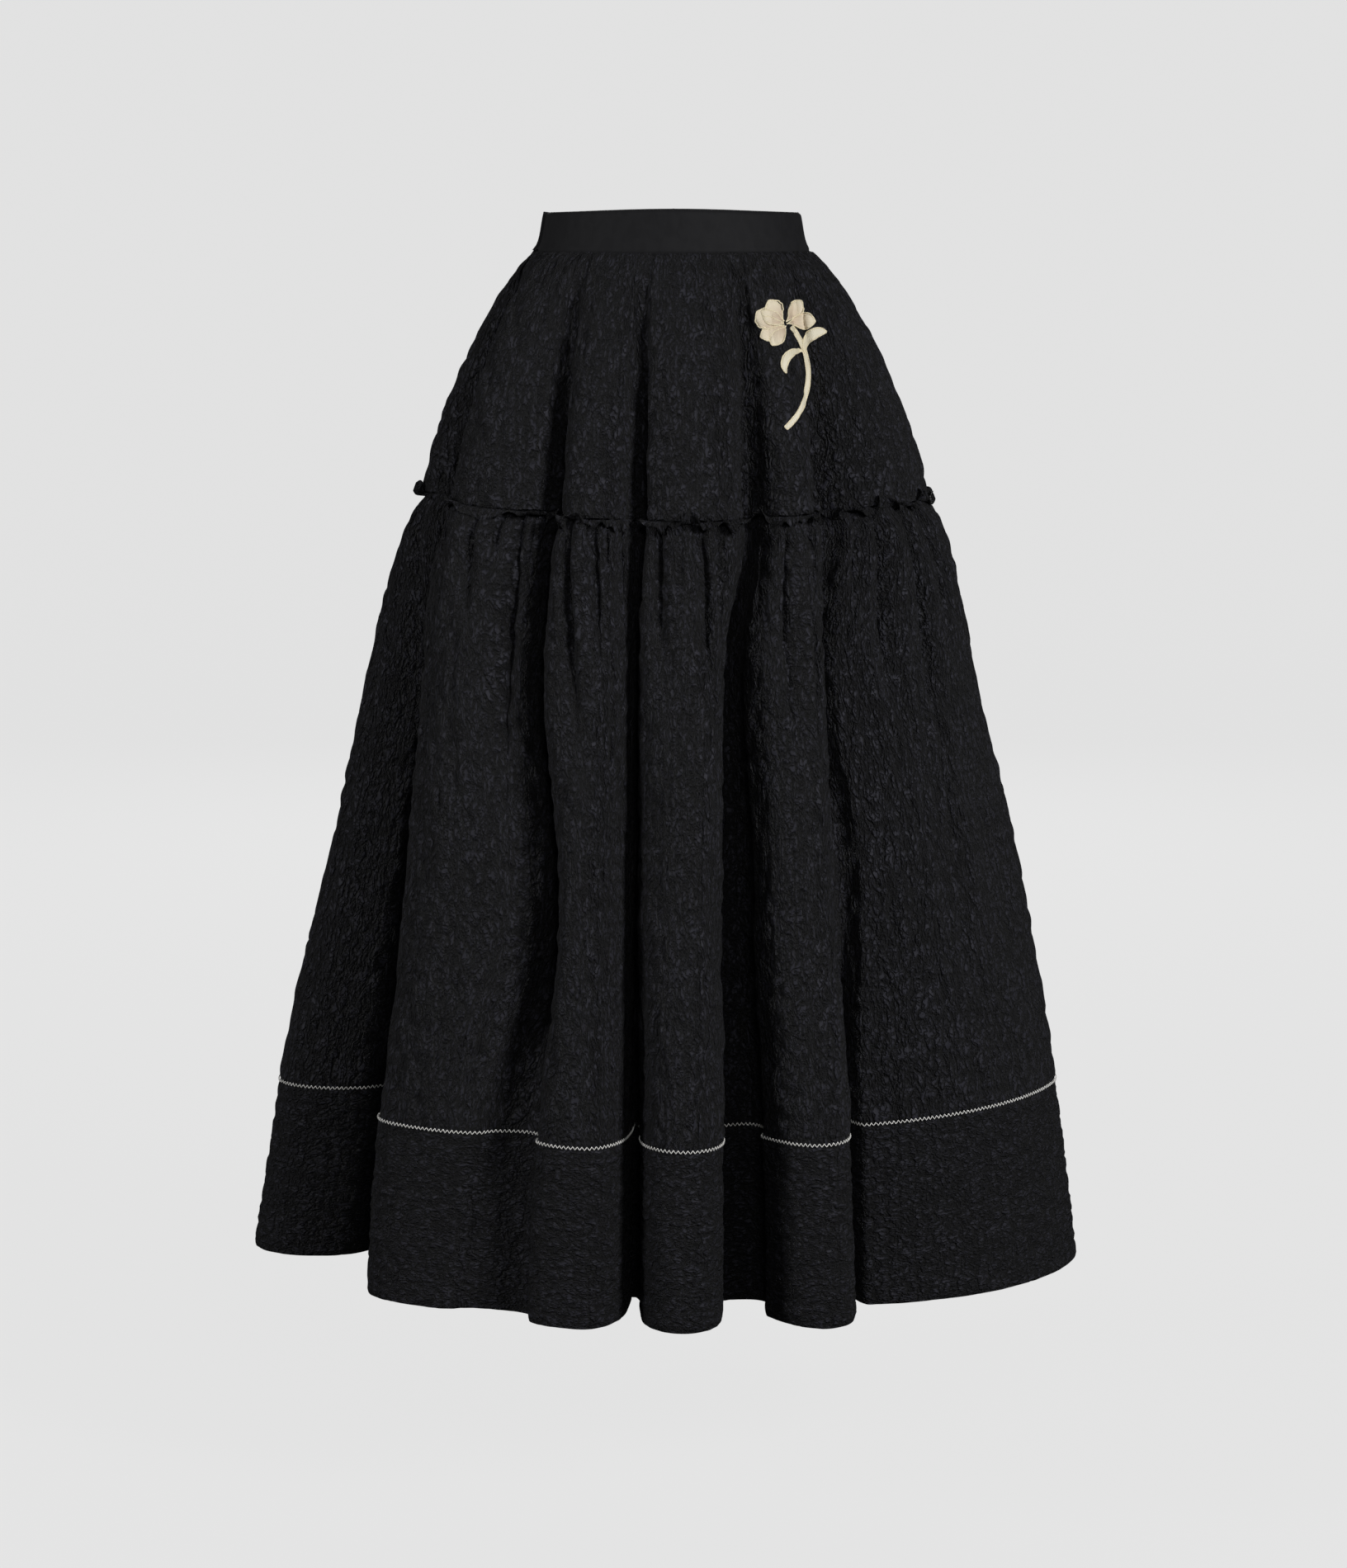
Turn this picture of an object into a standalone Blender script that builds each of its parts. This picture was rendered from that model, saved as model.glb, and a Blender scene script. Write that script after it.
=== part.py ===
"""A full, tiered midi skirt of black puckered cloth, hollow as it is worn.

Metres, +Z up. The front faces -Y and the origin is the middle of the waist, halfway up the waistband.
Every cloth line, from the band's top to the hem, is a closed ring: a level ellipse with long folds that
start under the waistband, deepen to the hem, and take up small gathers below the tier seam.
"""

import math
from collections import namedtuple

import bmesh
import bpy
import numpy as np
from mathutils import Vector
from mathutils.bvhtree import BVHTree

# Walls and seams
CLOTH = 0.0017
BAND_CLOTH = 0.0026
FRILL_CLOTH = 0.0010
SEAM_GAP = 0.0003

# The rings that set the garment's outline. A ring is higher at the sides than in front,
# because the cloth has further to go over the hips. fold is 0 where the long folds start,
# 1 at the tier seam and 2 at the hem. left_lift is how much higher the wearer's left side rides.
Ring = namedtuple("Ring", "name side_z front_z back_z half_width front_depth back_depth fold left_lift")
RINGS = (
    Ring("band_top", 0.0150, 0.0172, 0.0180, 0.1052, 0.0835, 0.0850, 0.00, 0.000),
    Ring("waist_seam", -0.0155, -0.0168, -0.0160, 0.1137, 0.0885, 0.0900, 0.00, 0.000),
    Ring("yoke", -0.0340, -0.0375, -0.0370, 0.1312, 0.1010, 0.1060, 0.12, 0.000),
    Ring("high_hip", -0.0610, -0.0670, -0.0660, 0.1475, 0.1135, 0.1220, 0.32, 0.000),
    Ring("mid_hip", -0.1160, -0.1240, -0.1230, 0.1738, 0.1330, 0.1460, 0.60, 0.000),
    Ring("hip", -0.1710, -0.1810, -0.1800, 0.1944, 0.1475, 0.1620, 0.84, 0.000),
    Ring("tier_seam", -0.2185, -0.2310, -0.2290, 0.2037, 0.1580, 0.1730, 1.00, 0.000),
    Ring("puff", -0.2540, -0.2670, -0.2650, 0.2140, 0.1680, 0.1830, 1.12, 0.000),
    Ring("thigh", -0.3090, -0.3220, -0.3200, 0.2222, 0.1765, 0.1920, 1.27, 0.000),
    Ring("knee", -0.4210, -0.4320, -0.4300, 0.2386, 0.1925, 0.2060, 1.50, 0.000),
    Ring("calf", -0.5340, -0.5430, -0.5410, 0.2560, 0.2065, 0.2185, 1.68, 0.002),
    Ring("low_calf", -0.6470, -0.6530, -0.6520, 0.2746, 0.2190, 0.2300, 1.84, 0.007),
    Ring("hem_seam", -0.7140, -0.7180, -0.7170, 0.2840, 0.2265, 0.2365, 1.90, 0.011),
    Ring("hem_middle", -0.7860, -0.7900, -0.7890, 0.2930, 0.2330, 0.2420, 1.96, 0.006),
    Ring("hem", -0.8560, -0.8600, -0.8590, 0.3020, 0.2385, 0.2470, 2.00, 0.000),
)

# The long folds, going round from the wearer's right side through the front. Angles are degrees
# from straight ahead, and how far a place stands off its ring is in metres. Each row is a fold and
# the trough after it. seam_crest, seam_trough and seam_dip are at the tier seam, the rest at the hem.
# The fold's flanks stand at left_at and right_at and its crest at crest_at. fullness is how round the
# crest is, bulge how far the trough's floor is wider than its mouth, and gathers how many small
# gathers the fold takes up.
Fold = namedtuple(
    "Fold",
    "name seam_crest seam_trough seam_dip left_at crest_at right_at crest fullness trough_at dip"
    " bulge gathers",
)
FOLDS = (
    Fold("side_left", 0.008, -90.0, -0.055, -106.0, -88.0, -78.5, 0.056, 1.0, -97.0, -0.070, 0.0, 3),
    Fold("front_left", 0.010, -37.3, -0.030, -59.5, -50.0, -38.0, 0.037, 1.0, -29.5, 0.0120, 0.0, 5),
    Fold("inner_left", 0.010, -10.6, -0.030, -24.5, -14.5, -9.2, 0.050, 1.0, -11.5, -0.058, 0.0, 3),
    Fold("centre", 0.012, 25.0, -0.032, -6.5, 1.5, 9.0, 0.056, 0.8, 16.0, -0.045, 4.0, 4),
    Fold("inner_right", 0.010, 45.0, -0.018, 17.0, 23.9, 32.5, 0.061, 0.4, 41.0, -0.034, 0.0, 3),
    Fold("front_right", 0.020, 88.0, -0.014, 36.5, 78.0, 94.0, 0.046, 0.2, 101.0, -0.040, 0.0, 5),
    Fold("side_right_back", 0.012, 117.0, -0.012, 107.0, 114.0, 121.0, 0.050, 1.0, 127.0, -0.042, 0.0, 3),
    Fold("back_right", 0.010, 149.0, -0.015, 133.0, 141.0, 148.0, 0.050, 1.0, 154.0, -0.046, 1.0, 4),
    Fold("back_centre_right", 0.010, 180.0, -0.010, 159.0, 166.0, 174.0, 0.044, 0.9, 180.0, -0.040, 0.0, 4),
    Fold("back_centre_left", 0.010, 207.0, -0.014, 185.0, 191.0, 197.0, 0.052, 1.0, 203.0, -0.048, 1.5, 3),
    Fold("back_left", 0.010, 235.0, -0.011, 209.0, 215.0, 221.0, 0.044, 0.8, 227.0, -0.038, 0.0, 4),
    Fold("side_left_back", 0.010, 260.0, -0.015, 232.0, 238.0, 243.0, 0.048, 1.0, 247.5, -0.044, 0.0, 3),
)

# Where the front folds depart from their straight run. level is 0 at the tier seam, 1 a third of
# the way down and 2 two thirds. left, right and trough are how many degrees the flanks and the
# trough after the fold turn, dip how far the trough rises and crest how far the crest does.
Bend = namedtuple("Bend", "fold level left right trough dip crest")
BENDS = (
    Bend("side_left", 0, 0.0, 6.0, 0.0, 0.000, 0.000),
    Bend("side_left", 1, 0.0, 4.0, -1.5, -0.006, -0.001),
    Bend("side_left", 2, 0.0, 2.0, -1.3, -0.002, -0.002),
    Bend("front_left", 0, 19.0, 0.0, 0.0, 0.000, 0.000),
    Bend("front_left", 1, 10.5, 1.6, -3.0, -0.017, 0.000),
    Bend("front_left", 2, 6.5, 10.2, 5.2, -0.029, 0.000),
    Bend("inner_left", 0, 0.0, -1.5, 0.0, 0.000, 0.000),
    Bend("inner_left", 1, -1.9, -0.4, -0.2, -0.002, 0.000),
    Bend("inner_left", 2, 3.4, 0.5, 0.5, 0.000, 0.000),
    Bend("centre", 0, -0.8, 0.0, 0.0, 0.000, 0.000),
    Bend("centre", 1, -2.1, -4.0, -4.5, -0.007, 0.000),
    Bend("centre", 2, -0.6, -2.2, -2.4, 0.000, 0.000),
    Bend("inner_right", 1, -5.6, -2.4, -5.2, -0.005, 0.000),
    Bend("inner_right", 2, -3.2, -3.2, -5.2, 0.032, 0.000),
    Bend("front_right", 1, -4.4, 0.0, 0.0, 0.000, 0.003),
    Bend("front_right", 2, -2.4, 0.0, 0.0, 0.000, 0.006),
)

SIDE_SEAM_RIGHT = 6
CENTRE_BACK = 9
SEAM_FLANK_DEG = 3.4
WAIST_SPREAD_DEG = 8.0
FLANK_SHARE = 0.22
SEAM_FULLNESS = 0.45

# Gathers below the tier seam: their height off the fold, and how far down each one fades.
GATHER_AT_SEAM = 0.0018
GATHER_HEIGHT = 0.0052
GATHER_SWELL = 0.045
GATHER_FADE = 0.150
GATHER_FADE_SPREAD = 0.110

# How finely each tier is divided, in columns for each gather and in strips between rings
TIER_COLUMNS = 4
YOKE_COLUMNS = 3
BAND_COLUMNS = 1.5
BAND_STRIPS = 2
YOKE_STRIPS = 6
TIER_STRIPS = 9
HEM_STRIPS = 2
TIER_STRIP_GROWTH = 1.45

# The raw-edged frill that stands out of the tier seam, and its share of its width in a trough
FRILL_WIDTH = 0.0078
FRILL_IN_TROUGH = 0.35
FRILL_WAVES = 46
FRILL_LEAN_DEG = (16.0, 74.0)

# The embroidered flower on the wearer's left hip, placed as seen from the front. Headings are
# degrees up from the wearer's left, lengths and widths are in metres.
FLOWER_AT = (0.0900, -0.0735)
FLOWER_THICK = 0.0012
FLOWER_LIFT = 0.0014
FLOWER_RINGS = (1.0, 0.8, 0.6, 0.4, 0.2)
HEAD_POINTS = 52
HEAD_HEART = 0.0062
Lobe = namedtuple("Lobe", "heading_deg length half_angle_deg")
LOBES = (
    Lobe(158.0, 0.0215, 34.0),
    Lobe(112.0, 0.0185, 24.0),
    Lobe(58.0, 0.0165, 20.0),
    Lobe(14.0, 0.0225, 24.0),
    Lobe(-112.0, 0.0200, 22.0),
    Lobe(-150.0, 0.0190, 21.0),
)
STEM_WIDTH = 0.0032
STEM_POINTS = 29
LEAVES_AT = 0.34
LEAF_POINTS = 11
Leaf = namedtuple("Leaf", "name side start_deg turn_deg length width")
LEAVES = (
    Leaf("flower_leaf_right", 1, 78.0, -92.0, 0.0330, 0.0078),
    Leaf("flower_leaf_left", -1, 170.0, 118.0, 0.0290, 0.0060),
)

RING_INDEX = {ring.name: index for index, ring in enumerate(RINGS)}
FOLD_INDEX = {fold.name: index for index, fold in enumerate(FOLDS)}


def clear_scene():
    for found in list(bpy.data.objects):
        bpy.data.objects.remove(found, do_unlink=True)


def material(name, colour, roughness, metallic=0.0):
    made = bpy.data.materials.new(name)
    made.use_nodes = True
    shader = made.node_tree.nodes["Principled BSDF"]
    shader.inputs["Base Color"].default_value = (*colour, 1.0)
    shader.inputs["Roughness"].default_value = roughness
    shader.inputs["Metallic"].default_value = metallic
    return made


def ring_column(column, place):
    """A ring measure at a place between rings, eased so that the outline has no corners."""
    values = np.array([getattr(ring, column) for ring in RINGS])
    slopes = np.gradient(values)
    seam = RING_INDEX["waist_seam"]
    slopes[seam] = values[seam + 1] - values[seam]
    below = np.clip(np.floor(place).astype(int), 0, len(RINGS) - 2)
    part = place - below
    square, cube = part**2, part**3
    return (
        values[below] * (2 * cube - 3 * square + 1)
        + slopes[below] * (cube - 2 * square + part)
        + values[below + 1] * (3 * square - 2 * cube)
        + slopes[below + 1] * (cube - square)
    )


def scatter(index):
    """A fixed number from 0 to 1 for each index, with no pattern that shows."""
    return (np.asarray(index) * 0.618034) % 1.0


def eased(share):
    share = np.clip(share, 0.0, 1.0)
    return share * share * (3.0 - 2.0 * share)


def fold_angles(turn, fold_stage):
    """Degrees from straight ahead, and how far the long fold stands off its ring."""
    index = np.floor(turn).astype(int)
    part = turn - index
    rounds, index = np.divmod(index, len(FOLDS))
    before = index - 1
    wrap = np.where(before < 0, -360.0, 0.0)
    lower = np.clip(fold_stage - 1.0, 0.0, 1.0)
    upper = np.clip(fold_stage, 0.0, 1.0)
    on_left = part < 0.5
    row = np.where(on_left, before, index)

    def of(column, rows):
        return np.array([getattr(fold, column) for fold in FOLDS])[rows]

    def between(seam, hem):
        return seam + (hem - seam) * lower

    key = np.clip(lower * 3.0, 0.0, 2.999)
    level, share = np.floor(key).astype(int), eased(key % 1.0)

    def bent(column, rows):
        table = np.zeros((4, len(FOLDS)))
        for bend in BENDS:
            table[bend.level, FOLD_INDEX[bend.fold]] = getattr(bend, column)
        return table[level, rows] * (1.0 - share) + table[level + 1, rows] * share

    seam_left, seam_right = of("seam_trough", before) + wrap, of("seam_trough", index)
    seam_trough = np.where(on_left, seam_left, seam_right)
    seam_flank = seam_trough + np.where(on_left, SEAM_FLANK_DEG, -SEAM_FLANK_DEG)
    hem_flank = np.where(on_left, of("left_at", index), of("right_at", index))
    hem_trough = of("trough_at", row) + np.where(on_left, wrap, 0.0)
    trough_at = between(seam_trough, hem_trough) + bent("trough", row)
    flank_at = between(seam_flank, hem_flank) + np.where(on_left, bent("left", index), bent("right", index))
    crest_at = between((seam_left + seam_right) / 2, of("crest_at", index))
    crest = (between(of("seam_crest", index), of("crest", index)) + bent("crest", index)) * upper
    dip = (between(of("seam_dip", row), of("dip", row)) + bent("dip", row)) * upper
    middle = (crest + dip) / 2
    across = np.where(on_left, part, 1.0 - part)
    in_trough = across < FLANK_SHARE
    dip_share = np.clip(across / FLANK_SHARE, 0, 1)
    crest_share = np.clip((across - FLANK_SHARE) / (0.5 - FLANK_SHARE), 0, 1)
    dip_phase, crest_phase = dip_share * math.pi / 2, crest_share * math.pi / 2
    bulge = of("bulge", row) * np.where(on_left, 1.0, -1.0) * lower
    trough_angle = trough_at + (flank_at - trough_at) * np.sin(dip_phase) + bulge * np.sin(2 * dip_phase)
    fullness = between(SEAM_FULLNESS, of("fullness", index))
    crest_angle = crest_at + (flank_at - crest_at) * (
        fullness * np.cos(crest_phase) + (1.0 - fullness) * (1.0 - crest_share)
    )
    angle = np.where(in_trough, trough_angle, crest_angle)
    stand = np.where(
        in_trough,
        middle + (dip - middle) * np.cos(dip_phase),
        middle + (crest - middle) * np.sin(crest_phase),
    )
    angle = angle + WAIST_SPREAD_DEG * (1.0 - upper) * np.sin(np.radians(2 * angle))
    return angle + 360.0 * rounds, stand


def gather_height(turn, below_seam):
    """The small gathers: rounded crests with narrow troughs, each with its own length."""
    index = np.floor(turn).astype(int)
    counts = np.array([fold.gathers for fold in FOLDS])
    starts = np.concatenate([[0], np.cumsum(counts)])
    row = index % len(FOLDS)
    phase = (turn - index) * counts[row]
    number = starts[row] + np.floor(phase)
    fade = GATHER_FADE + GATHER_FADE_SPREAD * scatter(number)
    wave = np.abs(np.sin(math.pi * phase)) ** 0.8 * 2.0 - 1.15
    swell = GATHER_AT_SEAM + (GATHER_HEIGHT - GATHER_AT_SEAM) * eased(below_seam / GATHER_SWELL)
    gone = eased((below_seam - GATHER_SWELL) / fade)
    return np.where(below_seam > 0, wave * swell * (1.0 - gone), 0.0)


def cloth_point(turn, place):
    """Points of the outer surface. turn counts folds round the body, place counts rings down."""
    turn, place = np.broadcast_arrays(np.asarray(turn, float), np.asarray(place, float))
    angle, stand = fold_angles(turn, ring_column("fold", place))
    radians = np.radians(angle)
    front = np.cos(radians)
    depth = np.where(front > 0, ring_column("front_depth", place), ring_column("back_depth", place))
    radius = 1.0 / np.hypot(np.sin(radians) / ring_column("half_width", place), front / depth)
    side_z = ring_column("side_z", place)
    end_z = np.where(front > 0, ring_column("front_z", place), ring_column("back_z", place))
    height = side_z + (end_z - side_z) * front**2
    height = height + ring_column("left_lift", place) * np.clip(np.sin(radians), 0.0, 1.0) ** 2
    seam = RINGS[RING_INDEX["tier_seam"]].side_z
    gathered = np.where(place >= RING_INDEX["tier_seam"], np.maximum(seam - side_z, 1e-9), 0.0)
    radius = radius + stand + gather_height(turn, gathered)
    return np.stack([radius * np.sin(radians), -radius * front, height], axis=-1)


def cloth_normal(turn, place):
    """Outward unit normals of the outer surface, from points a little to each side."""
    step_turn, step_place = 0.004, 0.02
    low = max(float(np.min(place)), step_place)
    high = float(np.max(place)) if np.max(place) < len(RINGS) - 1 else len(RINGS) - 1 - step_place
    held = np.clip(place, low, high)
    along = cloth_point(turn + step_turn, held) - cloth_point(turn - step_turn, held)
    down = cloth_point(turn, held + step_place) - cloth_point(turn, held - step_place)
    normal = np.cross(down, along)
    return normal / np.linalg.norm(normal, axis=-1, keepdims=True)


def inner_point(outer, normal, thickness):
    """The wall's other face, at the same height, so that the rims at the seams are level."""
    level = np.hypot(normal[..., 0], normal[..., 1])
    flat = np.stack([normal[..., 0], normal[..., 1], np.zeros_like(level)], axis=-1)
    return outer - flat * (thickness / level**2)[..., None]


def solid_between(name, outer, inner, finish):
    """One closed solid from two grids of points, with a rim along all four edges."""
    rows, columns = outer.shape[:2]
    mesh = bmesh.new()
    skins = [[[mesh.verts.new(p) for p in row] for row in grid] for grid in (outer, inner)]
    out, back = skins
    for i in range(rows - 1):
        for j in range(columns - 1):
            mesh.faces.new((out[i][j], out[i + 1][j], out[i + 1][j + 1], out[i][j + 1]))
            mesh.faces.new((back[i][j], back[i][j + 1], back[i + 1][j + 1], back[i + 1][j]))
    for j in range(columns - 1):
        mesh.faces.new((out[0][j], out[0][j + 1], back[0][j + 1], back[0][j]))
        mesh.faces.new((out[-1][j + 1], out[-1][j], back[-1][j], back[-1][j + 1]))
    for i in range(rows - 1):
        mesh.faces.new((out[i + 1][0], out[i][0], back[i][0], back[i + 1][0]))
        mesh.faces.new((out[i][-1], out[i + 1][-1], back[i + 1][-1], back[i][-1]))
    return finished(name, mesh, finish)


def finished(name, mesh, finish):
    bmesh.ops.triangulate(mesh, faces=mesh.faces, quad_method="SHORT_EDGE")
    bmesh.ops.recalc_face_normals(mesh, faces=mesh.faces)
    data = bpy.data.meshes.new(name)
    mesh.to_mesh(data)
    mesh.free()
    corner = Vector(data.vertices[0].co)
    if sum((Vector(face.center) - corner).dot(face.normal) * face.area for face in data.polygons) < 0:
        data.flip_normals()
    data.shade_smooth()
    data.set_sharp_from_angle(angle=math.radians(50))
    data.materials.append(finish)
    made = bpy.data.objects.new(name, data)
    bpy.context.scene.collection.objects.link(made)
    return made


def panel_turns(first, last, per_gather):
    """Where a panel's columns stand: the same number for every gather of every fold."""
    turns = [float(first)]
    for fold in range(first, last):
        count = max(4, round(per_gather * FOLDS[fold % len(FOLDS)].gathers))
        turns += [fold + (i + 1) / count for i in range(count)]
    return np.array(turns)


def held_apart(points):
    """The panel's two side edges drawn in, so that it stops short of its neighbours."""
    points = points.copy()
    for edge, inside in ((0, 1), (-1, -2)):
        step = points[:, inside] - points[:, edge]
        points[:, edge] += step / np.linalg.norm(step, axis=-1, keepdims=True) * SEAM_GAP / 2
    return points


def panel(name, first, last, places, per_gather, thickness, finish):
    """A panel of cloth between two folds and between two rings, as a wall."""
    turns = panel_turns(first, last, per_gather)
    turn, place = np.meshgrid(turns, places)
    outer = cloth_point(turn, place)
    inner = inner_point(outer, cloth_normal(turn, place), thickness)
    outer, inner = held_apart(outer), held_apart(inner)
    outer[-1, :, 2] += SEAM_GAP
    inner[-1, :, 2] += SEAM_GAP
    return solid_between(name, outer, inner, finish)


def places_between(upper, lower, strips, growth=1.0):
    """Places from one ring to another. A growth over 1 sets them closer near the upper ring."""
    share = np.linspace(0.0, 1.0, strips + 1) ** growth
    return RING_INDEX[upper] + (RING_INDEX[lower] - RING_INDEX[upper]) * share


def frill(name, first, last, finish):
    """The frill: a narrow strip rooted on the tier seam, leaning in and out in waves."""
    turn = panel_turns(first, last, YOKE_COLUMNS)
    seam = float(RING_INDEX["tier_seam"])
    root = cloth_point(turn, seam)
    outward = cloth_normal(turn, np.full_like(turn, seam - 0.05))
    up = cloth_point(turn, seam - 0.3) - root
    up = up / np.linalg.norm(up, axis=-1, keepdims=True)
    low, high = (math.radians(x) for x in FRILL_LEAN_DEG)
    wave = 0.5 + 0.5 * np.sin(2 * math.pi * FRILL_WAVES * turn / len(FOLDS) + 2.4 * np.sin(1.7 * turn))
    lean = (low + (high - low) * wave**1.5)[:, None]
    from_trough = 0.5 - np.abs(turn % 1.0 - 0.5)
    width = FRILL_WIDTH * (FRILL_IN_TROUGH + (1.0 - FRILL_IN_TROUGH) * eased(from_trough / 0.35))
    root = root + outward * SEAM_GAP * 2.4
    along = up * np.cos(lean) + outward * np.sin(lean)
    across = outward * np.cos(lean) - up * np.sin(lean)
    thick = across * FRILL_CLOTH
    lift = up * FRILL_CLOTH * 1.1
    inside = np.stack([root + lift + along * width[:, None], root + lift])
    outside = inside + thick
    return solid_between(name, held_apart(outside), held_apart(inside), finish)


def flower_head_outline():
    """The lobed outline of the open flower, as distances from its heart."""
    points = []
    for k in range(HEAD_POINTS):
        angle = 360.0 * k / HEAD_POINTS
        reach = HEAD_HEART
        for lobe in LOBES:
            off = abs((angle - lobe.heading_deg + 180) % 360 - 180) / lobe.half_angle_deg
            if off < 1:
                reach = max(reach, lobe.length * math.sqrt(1 - off**3))
        radians = math.radians(angle)
        points.append(np.array([math.cos(radians), math.sin(radians)]) * reach)
    return points


def stem_line(share):
    """The stem's curve, down and round from the flower's heart."""
    bow = 0.0235 * math.sin(math.pi * share**0.85) * (1 - 0.28 * share)
    return np.array([0.0045 + bow - 0.0080 * share, -0.0065 - 0.0810 * share])


def laid_on(tree, flat, lift):
    """Points of a motif, given as seen from the front, laid on the cloth and moved out from it."""
    points = []
    for x, z in flat:
        start = Vector((FLOWER_AT[0] + x, -1.0, FLOWER_AT[1] + z))
        hit, facing = tree.ray_cast(start, Vector((0, 1, 0)))[:2]
        points.append(np.array(hit + facing * lift))
    return np.array(points)


def motif_disc(name, tree, outline, finish):
    """A closed, even pad of stitching inside an outline, following the cloth."""
    outline = np.array(outline)
    heart = outline.mean(axis=0)
    mesh = bmesh.new()
    skins = []
    for lift in (FLOWER_LIFT + FLOWER_THICK, FLOWER_LIFT):
        rings = [laid_on(tree, heart + (outline - heart) * share, lift) for share in FLOWER_RINGS]
        middle = laid_on(tree, [heart], lift)[0]
        skins.append(([[mesh.verts.new(p) for p in ring] for ring in rings], mesh.verts.new(middle)))
    count = len(outline)
    for rings, middle in skins:
        for a, b in zip(rings, rings[1:]):
            for k in range(count):
                mesh.faces.new((a[k], a[(k + 1) % count], b[(k + 1) % count], b[k]))
        for k in range(count):
            mesh.faces.new((rings[-1][k], rings[-1][(k + 1) % count], middle))
    top, under = skins[0][0][0], skins[1][0][0]
    for k in range(count):
        mesh.faces.new((top[k], under[k], under[(k + 1) % count], top[(k + 1) % count]))
    return finished(name, mesh, finish)


def motif_strip(name, tree, line, widths, finish):
    """A strip of satin stitch along a curve, with a width at each of its points."""
    line = np.array(line)
    along = np.gradient(line, axis=0)
    side = np.stack([-along[:, 1], along[:, 0]], axis=1)
    side /= np.linalg.norm(side, axis=1, keepdims=True)
    edges = [line + side * np.array(widths)[:, None] * k for k in (0.5, 0.0, -0.5)]
    over = np.stack([laid_on(tree, edge, FLOWER_LIFT + FLOWER_THICK) for edge in edges])
    under = np.stack([laid_on(tree, edge, FLOWER_LIFT) for edge in edges])
    return solid_between(name, over, under, finish)


def build_flower(front, finish):
    """The embroidery, in four pads: the open flower, its stem and two leaves."""
    faces = [tuple(face.vertices) for face in front.data.polygons]
    tree = BVHTree.FromPolygons([vertex.co for vertex in front.data.vertices], faces)
    motif_disc("flower_head", tree, flower_head_outline(), finish)
    stem = [stem_line(s) for s in np.linspace(0.02, 1.0, STEM_POINTS)]
    motif_strip("flower_stem", tree, stem, [STEM_WIDTH] * STEM_POINTS, finish)
    steps = LEAF_POINTS - 1
    for leaf in LEAVES:
        point = stem_line(LEAVES_AT) + np.array([0.0028 * leaf.side, 0.0])
        line = [point]
        for k in range(steps):
            heading = math.radians(leaf.start_deg + leaf.turn_deg * k / steps)
            point = point + np.array([math.cos(heading), math.sin(heading)]) * leaf.length / steps
            line.append(point)
        shares = np.linspace(0.0, 1.0, LEAF_POINTS)
        widths = leaf.width * (0.22 + 0.78 * np.sin(math.pi * shares**0.8) ** 0.9)
        motif_strip(leaf.name, tree, line, widths, finish)


def main():
    clear_scene()
    cloth = material("black_puckered_cloth", (0.012, 0.012, 0.015), 0.72)
    band_cloth = material("black_band_cloth", (0.013, 0.013, 0.015), 0.66)
    thread = material("cream_embroidery", (0.72, 0.60, 0.38), 0.55)
    back = len(FOLDS)
    panels = (
        ("front", 0, SIDE_SEAM_RIGHT),
        ("back_right", SIDE_SEAM_RIGHT, CENTRE_BACK),
        ("back_left", CENTRE_BACK, back),
    )
    halves = (("front", 0, SIDE_SEAM_RIGHT), ("back", SIDE_SEAM_RIGHT, back))
    band_places = places_between("band_top", "waist_seam", BAND_STRIPS)
    yoke_places = places_between("waist_seam", "tier_seam", YOKE_STRIPS)
    tier_places = places_between("tier_seam", "hem_seam", TIER_STRIPS, TIER_STRIP_GROWTH)
    hem_places = places_between("hem_seam", "hem", HEM_STRIPS)
    for side, first, last in panels:
        panel(f"waistband_{side}", first, last, band_places, BAND_COLUMNS, BAND_CLOTH, band_cloth)
        yoke = panel(f"upper_tier_{side}", first, last, yoke_places, YOKE_COLUMNS, CLOTH, cloth)
        if side == "front":
            build_flower(yoke, thread)
    for side, first, last in halves:
        panel(f"gathered_tier_{side}", first, last, tier_places, TIER_COLUMNS, CLOTH, cloth)
        panel(f"hem_band_{side}", first, last, hem_places, TIER_COLUMNS, CLOTH, cloth)
        frill(f"seam_frill_{side}", first, last, cloth)


main()
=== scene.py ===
"""The looks of a full, tiered midi skirt of black cloque with an embroidered flower on one hip.

Metres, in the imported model's frame: +Z up, the front faces -Y, the origin in the middle of the waist.
Every cloth panel is a thin shell on the same drape: level rings, long folds, pinched gathers and puckers.
"""

import logging
import math
from dataclasses import dataclass, field
from enum import Enum
from typing import Any, NamedTuple

import bpy
import numpy as np
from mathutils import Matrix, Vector
from mathutils.bvhtree import BVHTree


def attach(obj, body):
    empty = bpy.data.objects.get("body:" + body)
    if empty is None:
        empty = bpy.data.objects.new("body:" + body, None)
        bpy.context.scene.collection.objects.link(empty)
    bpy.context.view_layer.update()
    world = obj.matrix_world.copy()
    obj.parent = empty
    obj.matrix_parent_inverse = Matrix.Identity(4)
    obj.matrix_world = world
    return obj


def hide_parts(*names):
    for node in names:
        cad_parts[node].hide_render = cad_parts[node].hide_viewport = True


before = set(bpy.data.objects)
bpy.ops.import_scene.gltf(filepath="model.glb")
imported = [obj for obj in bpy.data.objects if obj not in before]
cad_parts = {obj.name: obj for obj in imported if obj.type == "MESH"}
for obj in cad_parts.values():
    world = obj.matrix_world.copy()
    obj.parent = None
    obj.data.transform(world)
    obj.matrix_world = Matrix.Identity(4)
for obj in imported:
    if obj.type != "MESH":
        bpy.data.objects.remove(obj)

LOG = logging.getLogger("skirt")
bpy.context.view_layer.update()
MM = 0.001
METRES_MAP = "cloth_metres"
SHARE_NAME = "root_to_tip"


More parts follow.
